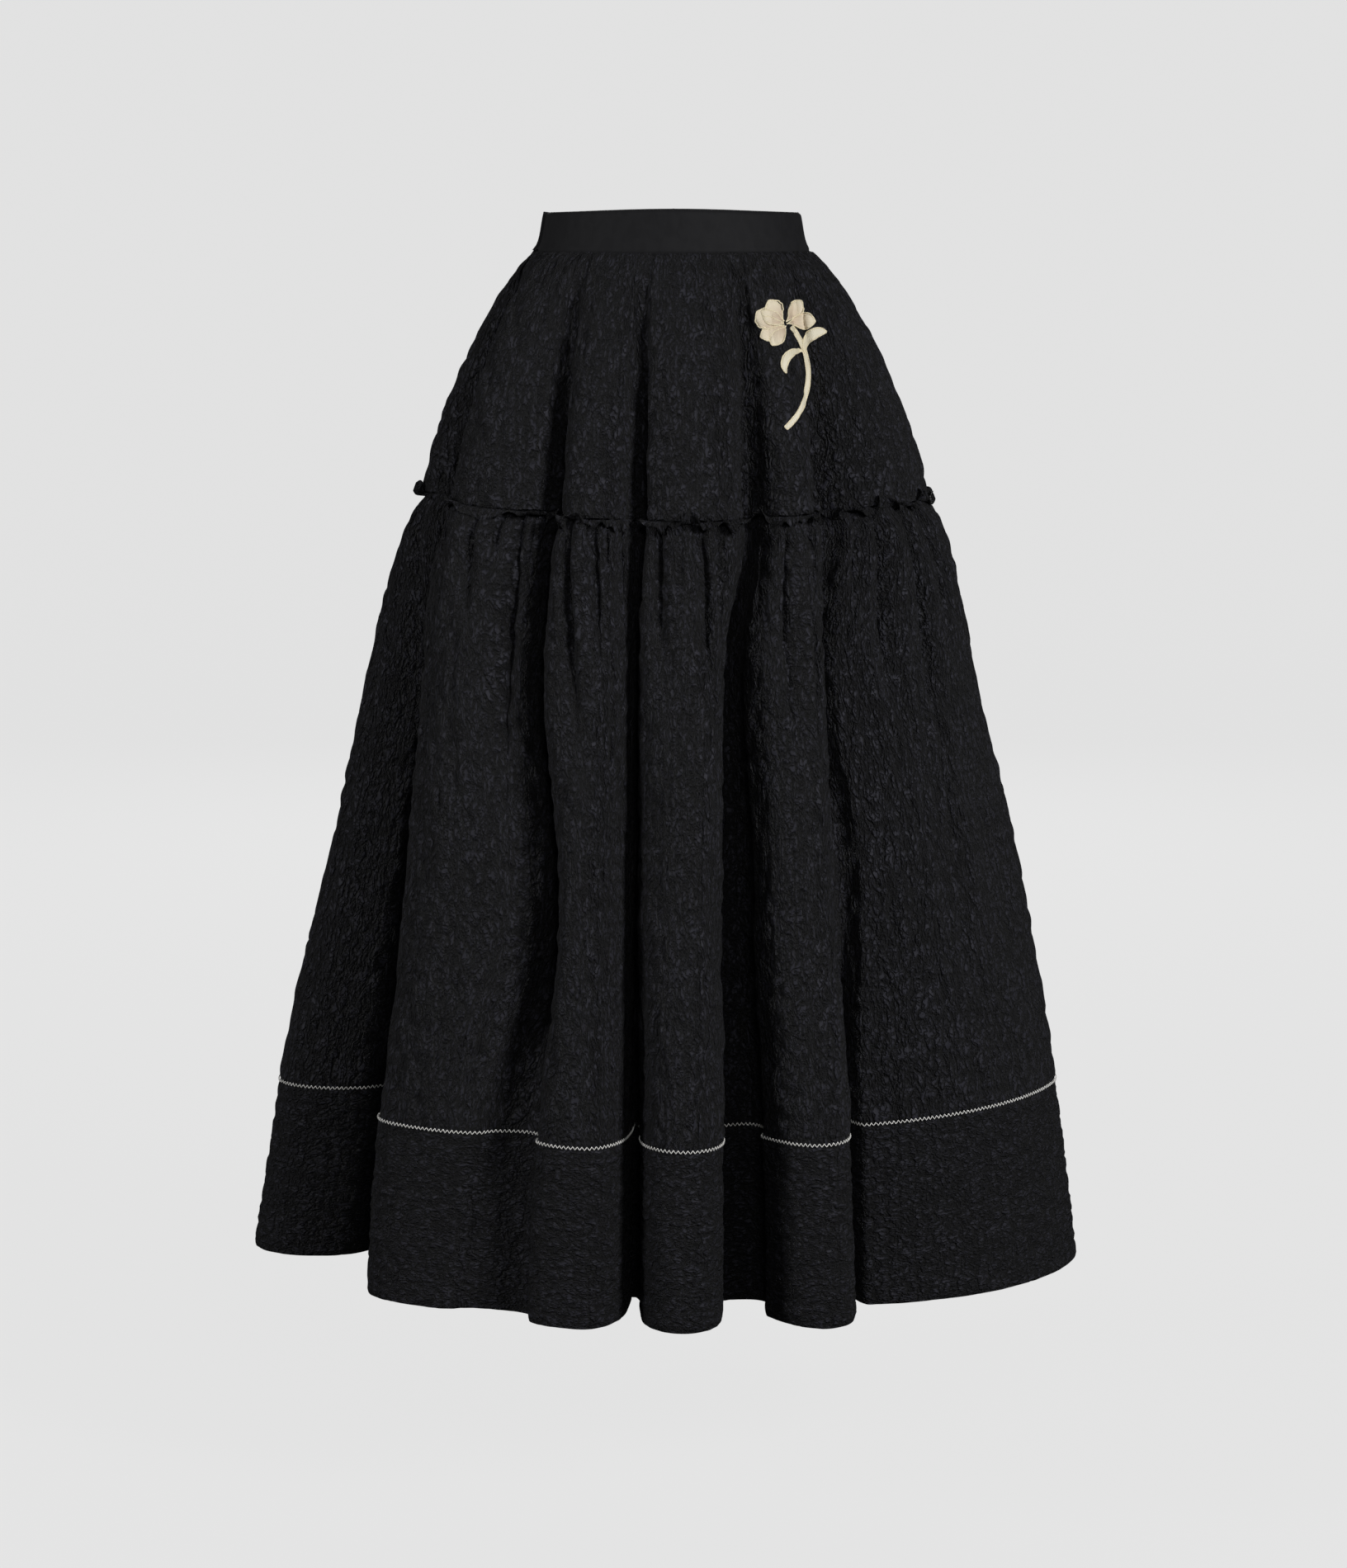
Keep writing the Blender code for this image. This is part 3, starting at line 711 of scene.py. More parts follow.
@dataclass(frozen=True)
class CottonFaille:
    """Black cotton faille: plain-woven, flat and close, with a faint upright slub here and there."""

    name: str = "black_cotton_faille"
    face: str = "#1C1C1E"
    slub: str = "#19191B"
    roughness: float = 0.74
    ior: float = 1.47
    specular: float = 0.18
    sheen: float = 0.02
    sheen_roughness: float = 0.5
    slub_across: float = 6.0 * MM
    slub_along: float = 9.0 * MM
    slub_height: float = 0.14 * MM
    # real ribs are 0.35 mm apart; drawn at 0.9 mm, the finest that shows
    rib: float = 0.9 * MM
    rib_height: float = 0.03 * MM

    def material(self) -> bpy.types.Material:
        """The finish.

        Returns:
            Its material.
        """
        material, tree, shader = new_material(self.name)
        place = add_node(tree, "ShaderNodeUVMap", {"uv_map": METRES_MAP}).outputs[0]
        scaled = add_node(
            tree,
            "ShaderNodeMapping",
            inputs={"Vector": place, "Scale": (1 / self.slub_across, 1 / self.slub_along, 1.0)},
        )
        slub = add_node(
            tree,
            "ShaderNodeTexNoise",
            {"noise_dimensions": "2D"},
            {"Vector": scaled.outputs[0], "Scale": 0.8, "Detail": 2.0, "Distortion": 0.4},
        ).outputs[0]
        rib = add_node(
            tree,
            "ShaderNodeTexNoise",
            {"noise_dimensions": "2D"},
            {"Vector": place, "Scale": 1 / self.rib, "Detail": 1.0},
        ).outputs[0]
        tall = add_node(tree, "ShaderNodeMath", {"operation": "MULTIPLY"}, {0: slub, 1: self.slub_height})
        fine = add_node(tree, "ShaderNodeMath", {"operation": "MULTIPLY"}, {0: rib, 1: self.rib_height})
        both = {0: tall.outputs[0], 1: fine.outputs[0]}
        total = add_node(tree, "ShaderNodeMath", {"operation": "ADD"}, both)
        bump = add_node(tree, "ShaderNodeBump", inputs={"Height": total.outputs[0], "Distance": 1.0})
        ramp = add_node(tree, "ShaderNodeValToRGB", inputs={"Fac": slub})
        ramp.color_ramp.elements[0].color = linear(self.slub)
        ramp.color_ramp.elements[0].position = 0.35
        ramp.color_ramp.elements[1].color = linear(self.face)
        ramp.color_ramp.elements[1].position = 0.6
        feed(tree, shader, {
            "Base Color": ramp.outputs[0], "Normal": bump.outputs[0], "Roughness": self.roughness,
            "IOR": self.ior, "Specular IOR Level": self.specular, "Sheen Weight": self.sheen,
            "Sheen Roughness": self.sheen_roughness,
        })
        return material


@dataclass(frozen=True)
class RayonFloss:
    """Rayon embroidery floss laid in satin stitch: fine ridges side by side with a silky sheen, and painted
    shade in the grooves between them.
    """

    name: str
    root: str
    tip: str
    # the colour multiplied into the grooves between stitches, as painted shade
    between: str = "#DACEB8"
    # real stitches are 0.4 mm apart; drawn at 0.9 mm, the finest that shows
    stitch: float = 0.9 * MM
    stitch_height: float = 0.16 * MM
    slant: float = 0.0
    roughness: float = 0.5
    ior: float = 1.53
    sheen: float = 0.15

    def material(self) -> bpy.types.Material:
        """The finish.

        Returns:
            Its material.
        """
        material, tree, shader = new_material(self.name)
        place = add_node(tree, "ShaderNodeUVMap", {"uv_map": METRES_MAP}).outputs[0]
        turned = add_node(
            tree, "ShaderNodeMapping", inputs={"Vector": place, "Rotation": (0.0, 0.0, self.slant)}
        )
        # at a scale of 1 this texture's bands are a twentieth of tau apart
        scale = math.tau / self.stitch / 20
        stitches = add_node(
            tree,
            "ShaderNodeTexWave",
            {"wave_type": "BANDS", "bands_direction": "X", "wave_profile": "SIN"},
            {"Vector": turned.outputs[0], "Scale": scale, "Distortion": 0.7, "Detail": 1.0},
        )
        height = add_node(
            tree, "ShaderNodeMath", {"operation": "MULTIPLY"}, {0: stitches.outputs[1], 1: self.stitch_height}
        )
        bump = add_node(tree, "ShaderNodeBump", inputs={"Height": height.outputs[0], "Distance": 1.0})
        share = add_node(tree, "ShaderNodeAttribute", {"attribute_name": SHARE_NAME})
        ramp = add_node(tree, "ShaderNodeValToRGB", inputs={"Fac": share.outputs["Fac"]})
        ramp.color_ramp.elements[0].color = linear(self.root)
        ramp.color_ramp.elements[1].color = linear(self.tip)
        ramp.color_ramp.elements[1].position = 0.85
        # painted shade: the between colour is multiplied in with a factor of 0.55 in the grooves, falling to
        # none on the stitch tops
        depth = add_node(
            tree, "ShaderNodeMapRange", inputs={"Value": stitches.outputs[1], "To Min": 0.55, "To Max": 0.0}
        )
        shaded = add_node(
            tree,
            "ShaderNodeMix",
            {"data_type": "RGBA", "blend_type": "MULTIPLY"},
            {"A": ramp.outputs[0], "B": linear(self.between), "Factor": depth.outputs[0]},
        )
        feed(tree, shader, {
            "Base Color": shaded.outputs["Result"], "Normal": bump.outputs[0],
            "Roughness": self.roughness, "IOR": self.ior, "Sheen Weight": self.sheen,
        })
        return material


@dataclass(frozen=True)
class SpunPolyester:
    """Off-white spun polyester sewing thread, laid by the machine: plied, matt and bright."""

    name: str = "off_white_sewing_thread"
    colour: str = "#F1F0EC"
    shadow: str = "#C9C7C1"
    ply: float = 0.8 * MM
    roughness: float = 0.62
    ior: float = 1.55

    def material(self) -> bpy.types.Material:
        """The finish.

        Returns:
            Its material.
        """
        material, tree, shader = new_material(self.name)
        place = add_node(tree, "ShaderNodeTexCoord").outputs["Object"]
        ply = add_node(
            tree, "ShaderNodeTexNoise", inputs={"Vector": place, "Scale": 1 / self.ply, "Detail": 1.0}
        ).outputs[0]
        ramp = add_node(tree, "ShaderNodeValToRGB", inputs={"Fac": ply})
        ramp.color_ramp.elements[0].color = linear(self.shadow)
        ramp.color_ramp.elements[0].position = 0.3
        ramp.color_ramp.elements[1].color = linear(self.colour)
        ramp.color_ramp.elements[1].position = 0.5
        feed(tree, shader, {"Base Color": ramp.outputs[0], "Roughness": self.roughness, "IOR": self.ior})
        return material


@dataclass
class Skin:
    """A grid of points with the cloth metres of each one: rows go down and columns round."""

    points: np.ndarray
    metres: np.ndarray

    def normals(self) -> np.ndarray:
        """Outward unit normals at the grid's points."""
        return unit(np.cross(np.gradient(self.points, axis=0), np.gradient(self.points, axis=1)))


def cloth_metres(points: np.ndarray) -> np.ndarray:
    """How far each grid point lies across and down the cloth.

    Args:
        points: the grid, before it is puckered.

    Returns:
        Metres across, averaged over the rows, and metres down, for each point.
    """
    across = np.linalg.norm(np.diff(points, axis=1), axis=-1).mean(axis=0)
    down = np.linalg.norm(np.diff(points, axis=0), axis=-1)
    u = np.broadcast_to(np.concatenate([[0.0], np.cumsum(across)]), points.shape[:2])
    v = np.concatenate([np.zeros((1, points.shape[1])), np.cumsum(down, axis=0)])
    return np.stack([u, v], axis=-1)


def mesh_object(
    name: str, vertices: np.ndarray, faces: list[list[int]], metres: np.ndarray, finish: bpy.types.Material
) -> bpy.types.Object:
    """A smooth mesh with its cloth metres as its map.

    Args:
        name: the piece's name.
        vertices: the points.
        faces: each face's points, in order.
        metres: metres across and down the cloth for each point.
        finish: its material.

    Returns:
        The object, in the scene.
    """
    data = bpy.data.meshes.new(name)
    data.from_pydata(vertices.tolist(), [], faces)
    corners = np.empty(len(data.loops), dtype=np.int32)
    data.loops.foreach_get("vertex_index", corners)
    layer = data.uv_layers.new(name=METRES_MAP)
    layer.uv.foreach_set("vector", metres[corners].astype(np.float32).ravel())
    data.shade_smooth()
    data.set_sharp_from_angle(angle=math.radians(70))
    data.materials.append(finish)
    made = bpy.data.objects.new(name, data)
    bpy.context.scene.collection.objects.link(made)
    return made


def grid_faces(first: int, rows: int, columns: int, inward: bool = False) -> list[list[int]]:
    """The faces of a grid of points.

    Args:
        first: the first point's number.
        rows: how many points down.
        columns: how many points across.
        inward: turns the faces over.

    Returns:
        Each face's points.
    """
    corner = first + np.arange((rows - 1) * columns).reshape(rows - 1, columns)[:, :-1].ravel()
    quads = np.stack([corner, corner + columns, corner + columns + 1, corner + 1], axis=1)
    return (quads[:, ::-1] if inward else quads).tolist()


@dataclass(frozen=True)
class Wall:
    """A closed wall of cloth: a fine outer skin, a coarser inner one and the rims between them."""

    thickness: float
    inner_step: int = 3
    round_top: bool = False
    round_bottom: bool = False

    def rim(self, outer: np.ndarray, beside: np.ndarray, inner: np.ndarray) -> np.ndarray:
        """Rows that turn the cloth over an edge, from the outer side to the inner one.

        Args:
            outer: the outer skin's edge row.
            beside: the row next to it.
            inner: the inner skin's edge row.

        Returns:
            Three rows of points.
        """
        centre, half = (outer + inner) / 2, (outer - inner) / 2
        out = unit(outer - beside) * np.linalg.norm(half, axis=-1, keepdims=True)
        angles = np.radians([35.0, 90.0, 145.0])
        return np.stack([centre + half * math.cos(a) + out * math.sin(a) for a in angles])

    def build(self, name: str, outer: Skin, base: Skin, finish: bpy.types.Material) -> bpy.types.Object:
        """The wall as a mesh.

        Args:
            name: the piece's name.
            outer: the puckered outer skin.
            base: the same grid before puckering, from which the inner skin is set off.
            finish: its material.

        Returns:
            The object.
        """
        normal = base.normals()
        level = np.maximum(np.hypot(normal[..., 0], normal[..., 1]), 0.5)[..., None]
        flat = normal * np.array([1.0, 1.0, 0.0])
        inner = base.points - flat * self.thickness / level**2
        points, metres = outer.points, outer.metres
        row_numbers = np.arange(len(points))
        if self.round_top:
            turned = self.rim(points[0], points[1], inner[0])[::-1]
            points, row_numbers = np.concatenate([turned, points]), row_numbers + len(turned)
            metres = np.concatenate([np.repeat(metres[:1], len(turned), axis=0), metres])
        if self.round_bottom:
            turned = self.rim(points[-1], points[-2], inner[-1])
            points = np.concatenate([points, turned])
            metres = np.concatenate([metres, np.repeat(metres[-1:], len(turned), axis=0)])
        rows, columns = points.shape[:2]
        down = np.unique(np.append(np.arange(0, len(inner), self.inner_step), len(inner) - 1))
        along = np.unique(np.append(np.arange(0, columns, self.inner_step), columns - 1))
        outer_down = row_numbers[down]
        outer_down[0], outer_down[-1] = 0, rows - 1
        inner_part = inner[np.ix_(down, along)]
        first = rows * columns
        faces = grid_faces(0, rows, columns)
        faces += grid_faces(first, len(down), len(along), inward=True)
        for k in range(len(along) - 1):
            left, right = along[k], along[k + 1]
            top = [int(x) for x in range(left, right + 1)]
            faces.append([*top, first + k + 1, first + k])
            below = [int((rows - 1) * columns + x) for x in range(right, left - 1, -1)]
            low = first + (len(down) - 1) * len(along)
            faces.append([*below, low + k, low + k + 1])
        for k in range(len(down) - 1):
            upper, lower = outer_down[k], outer_down[k + 1]
            left = [int(x * columns) for x in range(lower, upper - 1, -1)]
            faces.append([*left, first + k * len(along), first + (k + 1) * len(along)])
            right = [int(x * columns + columns - 1) for x in range(upper, lower + 1)]
            end = first + len(along) - 1
            faces.append([*right, end + (k + 1) * len(along), end + k * len(along)])
        vertices = np.concatenate([points.reshape(-1, 3), inner_part.reshape(-1, 3)])
        inner_metres = base.metres[np.ix_(down, along)]
        flat_metres = np.concatenate([metres.reshape(-1, 2), inner_metres.reshape(-1, 2)])
        return mesh_object(name, vertices, faces, flat_metres, finish)


@dataclass(frozen=True)
class Puckers:
    """The blisters of the cloque that stand high enough to break the outline.

    across, along and height are a blister's metres. The sway is the cloth's own soft ripple, and the
    wind is how far the blisters' edges wander.
    """

    across: float
    along: float
    height: float
    seed: int
    sway_height: float = 0.9 * MM
    sway_across: float = 0.042
    sway_along: float = 0.090
    wind: float = 0.004
    wind_across: float = 0.016
    wind_along: float = 0.024
    ridge_gain: float = 1.7
    ridge_power: float = 0.8
    sunk: float = 0.6
    small_gain: float = 0.55
    small_across: float = 0.55
    small_along: float = 0.5

    def height_at(self, metres: np.ndarray) -> np.ndarray:
        """How far the cloth stands off its drape.

        Args:
            metres: metres across and down the cloth.

        Returns:
            Metres outward.
        """
        u, v = metres[..., 0], metres[..., 1]
        winding = smooth_noise(u, v, self.wind_across, self.wind_along, self.seed + 7) * self.wind
        large = smooth_noise(u + winding, v, self.across, self.along, self.seed)
        across, along = self.across * self.small_across, self.along * self.small_along
        small = smooth_noise(u, v + winding, across, along, self.seed + 3)
        sway = smooth_noise(u, v, self.sway_across, self.sway_along, self.seed + 11) * self.sway_height
        ridges = self.ridge_gain * np.abs(large) ** self.ridge_power - self.sunk
        return self.height * (ridges + self.small_gain * small) + sway


@dataclass(frozen=True)
class ClothPanel:
    """A cut piece of the skirt between two rings and two folds, tucked a little past its side seams.

    seam_sink is how deep the stitching pulls its edges in. Over edge_calm the puckers fade to
    side_share of their height at every edge, and over side_calm to nothing at the sides.
    """

    name: str
    node: str
    first: int
    last: int
    upper: str
    lower: str
    columns: int
    rows: int
    wall: Wall
    puckers: Puckers
    cut: tuple[float, float]
    held: str
    cut_area: float | None
    seam_sink: float
    seam_reach: float
    tuck: float = 0.003
    side_calm: float = 0.002
    edge_calm: float = 0.006
    side_share: float = 0.35

    def skins(self, drape: Drape) -> tuple[Skin, Skin]:
        """The panel's smooth and puckered grids.

        Args:
            drape: the worn cloth.

        Returns:
            The base grid and the outer one.
        """
        places = drape.even_places(self.upper, self.lower, self.rows)
        turns = drape.even_turns(self.first - self.tuck, self.last + self.tuck, places, self.columns)
        if self.held == "gathered":
            points = drape.point(drape.beside_gathers(turns, places), places[:, None])
        else:
            points = drape.point(turns[None, :], places[:, None])
        base = Skin(points, cloth_metres(points))
        u, v = base.metres[..., 0], base.metres[..., 1]
        to_side = np.minimum(u, u[:, -1:] - u)
        to_end = np.minimum(v, v[-1:, :] - v)
        edge = np.minimum(to_side, to_end)
        calm = self.side_share * eased(to_side / self.side_calm)
        calm = calm + (1.0 - self.side_share) * eased(edge / self.edge_calm)
        height = self.puckers.height_at(base.metres) * calm
        height = height - self.seam_sink * np.exp(-((edge / self.seam_reach) ** 2))
        return base, Skin(points + base.normals() * height[..., None], base.metres)

    def build(self, drape: Drape, finish: bpy.types.Material, slot: str) -> bpy.types.Object:
        """Args:
            drape: the worn cloth.
            finish: its material.
            slot: the record's material slot.

        Returns:
            The object.
        """
        base, outer = self.skins(drape)
        made = self.wall.build(self.name, outer, base, finish)
        declare(made, slot, self.node)
        return made


def declare(piece: bpy.types.Object, slot: str, *nodes: str) -> None:
    """Hides the solids that a piece stands for, makes it ride on the root and logs its triangles.

    Args:
        piece: the object.
        slot: the record's material slot; not used.
        nodes: the solids that it stands for.
    """
    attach(piece, "root")
    if nodes:
        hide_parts(*nodes)
    triangles = sum(len(face.vertices) - 2 for face in piece.data.polygons)
    LOG.info("%s: %d triangles", piece.name, triangles)


class PanelCut(NamedTuple):
    """A cut piece: its name, its solid, the folds that it spans, its columns and its flat metres.

    area is in square metres, for a cut that isn't a rectangle.
    """

    name: str
    node: str
    first: int
    last: int
    columns: int
    flat: tuple[float, float]
    area: float | None = None


@dataclass
class Tier:
    """A level of the skirt, from one ring to another, in panels side by side."""

    finish: CottonCloque | CottonFaille
    cuts: tuple[PanelCut, ...]
    upper: str
    lower: str
    rows: int
    puckers: Puckers
    held: str
    wall: Wall = Wall(1.7 * MM)
    seam_sink: float = 0.9 * MM
    seam_reach: float = 1.8 * MM
    slot: str = "puckered_cloth"

    def panels(self) -> list[ClothPanel]:
        """The level's panels.

        Returns:
            One for each cut.
        """
        return [
            ClothPanel(
                cut.name, cut.node, cut.first, cut.last, self.upper, self.lower, cut.columns, self.rows,
                self.wall, self.puckers, cut.flat, self.held, cut.area, self.seam_sink, self.seam_reach,
            )
            for cut in self.cuts
        ]

    def build(self, drape: Drape) -> list[bpy.types.Object]:
        """Builds the panels.

        Args:
            drape: the worn cloth.

        Returns:
            The pieces.
        """
        finish = self.finish.material()
        return [panel.build(drape, finish, self.slot) for panel in self.panels()]


@dataclass
class Waistband(Tier):
    """The fitted band of faille, in three pieces with its folded edge on top."""

    finish: CottonFaille = field(default_factory=CottonFaille)
    cuts: tuple[PanelCut, ...] = (
        PanelCut("band_front", "waistband_front", 0, SIDE_SEAM_RIGHT, 210, (0.326, 0.034)),
        PanelCut(
            "band_right_back", "waistband_back_right", SIDE_SEAM_RIGHT, CENTRE_BACK, 105, (0.158, 0.034)
        ),
        PanelCut("band_left_back", "waistband_back_left", CENTRE_BACK, ALL_FOLDS, 95, (0.142, 0.034)),
    )
    upper: str = "band_top"
    lower: str = "waist_seam"
    rows: int = 24
    puckers: Puckers = Puckers(0.012, 0.050, 0.22 * MM, 5, sway_height=0.25 * MM)
    held: str = "stretched"
    wall: Wall = Wall(2.6 * MM, round_top=True, round_bottom=True)
    seam_sink: float = 1.4 * MM
    seam_reach: float = 1.2 * MM
    slot: str = "waistband_cloth"


@dataclass
class UpperTier(Tier):
    """The flared hip tier, in three panels."""

    cuts: tuple[PanelCut, ...] = (
        PanelCut("hip_front", "upper_tier_front", 0, SIDE_SEAM_RIGHT, 310, (0.90, 0.23), 0.137),
        PanelCut(
            "hip_right_back", "upper_tier_back_right", SIDE_SEAM_RIGHT, CENTRE_BACK, 125, (0.375, 0.23), 0.061
        ),
        PanelCut("hip_left_back", "upper_tier_back_left", CENTRE_BACK, ALL_FOLDS, 110, (0.33, 0.23), 0.054),
    )
    upper: str = "waist_seam"
    lower: str = "tier_seam"
    rows: int = 92
    puckers: Puckers = Puckers(0.0085, 0.0170, 1.25 * MM, 21)
    held: str = "hung"
    seam_sink: float = 1.7 * MM


@dataclass
class GatheredTier(Tier):
    """The long lower tier, gathered on to the upper one, front and back."""

    cuts: tuple[PanelCut, ...] = (
        PanelCut("tier_front", "gathered_tier_front", 0, SIDE_SEAM_RIGHT, 540, (1.81, 0.50)),
        PanelCut("tier_back", "gathered_tier_back", SIDE_SEAM_RIGHT, ALL_FOLDS, 400, (1.35, 0.50)),
    )
    upper: str = "tier_seam"
    lower: str = "hem_seam"
    rows: int = 156
    puckers: Puckers = Puckers(
        0.0090, 0.0190, 1.45 * MM, 41, sway_height=2.4 * MM, sway_across=0.025, sway_along=0.150
    )
    held: str = "gathered"


@dataclass
class HemBand(Tier):
    """The wide band at the hem, cut crossways, with its edge turned under."""

    cuts: tuple[PanelCut, ...] = (
        PanelCut("hem_front", "hem_band_front", 0, SIDE_SEAM_RIGHT, 620, (1.90, 0.147)),
        PanelCut("hem_back", "hem_band_back", SIDE_SEAM_RIGHT, ALL_FOLDS, 460, (1.40, 0.147)),
    )
    upper: str = "hem_seam"
    lower: str = "hem"
    rows: int = 58
    puckers: Puckers = Puckers(0.0100, 0.0080, 1.0 * MM, 61)
    held: str = "hung"
    wall: Wall = Wall(1.7 * MM, round_bottom=True)
    seam_sink: float = 0.7 * MM


class Lip(NamedTuple):
    """A flap of the frill: its turn, half width in folds, reach in metres and how far it tilts up."""

    turn: float
    half: float
    reach: float
    lean_deg: float


FRONT_LIPS = (
    Lip(0.550, 0.030, 0.0100, 32.0),
    Lip(1.510, 0.030, 0.0110, 30.0),
    Lip(1.620, 0.044, 0.0090, -46.0),
    Lip(1.760, 0.062, 0.0094, -52.0),
    Lip(1.880, 0.040, 0.0080, 38.0),
    Lip(2.350, 0.034, 0.0110, -60.0),
    Lip(2.450, 0.040, 0.0090, 30.0),
    Lip(2.572, 0.034, 0.0086, -48.0),
    Lip(2.740, 0.070, 0.0088, -44.0),
    Lip(2.930, 0.026, 0.0120, 50.0),
    Lip(3.360, 0.044, 0.0090, -50.0),
    Lip(3.450, 0.040, 0.0084, 36.0),
    Lip(3.540, 0.036, 0.0080, -40.0),
    Lip(3.640, 0.034, 0.0130, -64.0),
    Lip(4.190, 0.050, 0.0110, 34.0),
    Lip(4.380, 0.060, 0.0080, -46.0),
    Lip(4.560, 0.070, 0.0074, -38.0),
    Lip(5.160, 0.080, 0.0090, -40.0),
    Lip(5.388, 0.036, 0.0092, 34.0),
    Lip(5.520, 0.026, 0.0100, 44.0),
    Lip(5.800, 0.060, 0.0080, 20.0),
)


def hidden_lips(first: float, last: float, count: int, seed: int) -> tuple[Lip, ...]:
    """Flaps like the front's for the frill that faces away.

    Args:
        first: fold at which they start.
        last: fold before which they end.
        count: how many there are.
        seed: sets their spacing and reach.

    Returns:
        The flaps, in order round the body.
    """
    random = np.random.default_rng(seed)
    made = []
    for k in range(count):
        turn = first + (last - first) * (k + 0.5 + random.uniform(-0.25, 0.25)) / count
        half, reach = random.uniform(0.03, 0.09), random.uniform(0.0075, 0.0105)
        made.append(Lip(turn, half, reach, random.uniform(-55.0, 40.0)))
    return tuple(made)


@dataclass
class SeamFrill:
    """The raw heading of the gathers: a narrow edge that stands out of the tier seam in uneven flaps."""

    finish: CottonCloque
    lips: tuple[Lip, ...]
    thickness: float = 1.0 * MM
    reach: float = 6.0 * MM
    in_trough: float = 0.5
    columns: int = 820
    fold_metres: float = 0.150
    sunk: float = 0.8 * MM
    lean_deg: float = -34.0
    lean_swing_deg: float = 36.0
    lip_twist_deg: float = 12.0
    curl_deg: float = 58.0
    shares: tuple[float, ...] = (0.0, 0.3, 0.6, 0.85, 1.0)
    least_area: float = 0.0035

    def along(self, turn: np.ndarray, wave: float, seed: int) -> np.ndarray:
        """Seeded noise along the seam.

        Args:
            turn: folds round the body.
            wave: metres from one bump to the next.
            seed: sets the pattern.

        Returns:
            Values from -1 to 1.
        """
        return smooth_noise(turn * self.fold_metres, np.zeros_like(turn), wave, 1.0, seed)

    def profile(self, turn: np.ndarray) -> tuple[np.ndarray, np.ndarray]:
        """How far the frill stands out and which way.

        Args:
            turn: folds round the body.

        Returns:
            Its reach in metres and its lean in radians above the level.
        """
        reach = self.reach * (1.0 + 0.45 * self.along(turn, 0.012, 81))
        ragged = self.along(turn, 0.0026, 83)
        lean = np.radians(self.lean_deg + self.lean_swing_deg * self.along(turn, 0.010, 85))
        for lip in self.lips:
            off = (turn - lip.turn) / lip.half
            near = np.exp(-(off**6))
            reach = reach * (1 - near) + lip.reach * near
            lean = lean * (1 - near) + np.radians(lip.lean_deg + self.lip_twist_deg * off) * near
        from_trough = 0.5 - np.abs(turn % 1.0 - 0.5)
        narrowed = self.in_trough + (1.0 - self.in_trough) * eased(from_trough / 0.3)
        return reach * (1.0 + 0.16 * ragged) * narrowed, lean

    def half(
        self, drape: Drape, side: str, first: int, last: int, finish: bpy.types.Material
    ) -> bpy.types.Object:
        """Args:
            drape: the worn cloth.
            side: front or back.
            first: fold where it starts.
            last: fold where it ends.
            finish: its material.

        Returns:
            The piece.
        """
        seam = RING_INDEX["tier_seam"] - 1e-6
        turn = drape.even_turns(first, last, np.array([seam, seam]), self.columns)
        rows = np.array([RING_INDEX["tier_seam"] - 0.06, RING_INDEX["tier_seam"] - 0.03, seam])
        grid = drape.point(turn[None, :], rows[:, None])
        outward = Skin(grid, np.zeros((*grid.shape[:2], 2))).normals()[1]
        up = unit(grid[0] - grid[2])
        reach, lean = self.profile(turn)
        curl = np.radians(self.curl_deg) * self.along(turn, 0.0065, 87)
        across = []
        for share in self.shares:
            angle = (lean + curl * share)[:, None]
            away = outward * np.cos(angle) + up * np.sin(angle)
            across.append(grid[2] - outward * self.sunk + away * (reach * share)[:, None])
        under = np.stack(across)
        angle = lean[:, None]
        raised = up * np.cos(angle) - outward * np.sin(angle)
        over = (under + raised * self.thickness)[::-1]
        points = np.concatenate([over, under])
        rows_down, columns = points.shape[:2]
        faces = grid_faces(0, rows_down, columns)
        faces.append([k * columns for k in reversed(range(rows_down))])
        faces.append([k * columns + columns - 1 for k in range(rows_down)])
        low = (rows_down - 1) * columns
        faces += [[k + 1, low + k + 1, low + k, k] for k in range(columns - 1)]
        metres = cloth_metres(over)
        both_metres = np.concatenate([metres, metres[::-1]]).reshape(-1, 2)
        piece = mesh_object(f"frill_{side}", points.reshape(-1, 3), faces, both_metres, finish)
        declare(piece, "puckered_cloth", f"seam_frill_{side}")
        return piece

    def build(self, drape: Drape) -> list[bpy.types.Object]:
        """Builds the two halves.

        Args:
            drape: the worn cloth.

        Returns:
            The pieces.
        """
        finish = self.finish.material()
        halves = (("front", 0, SIDE_SEAM_RIGHT), ("back", SIDE_SEAM_RIGHT, ALL_FOLDS))
        return [self.half(drape, side, first, last, finish) for side, first, last in halves]


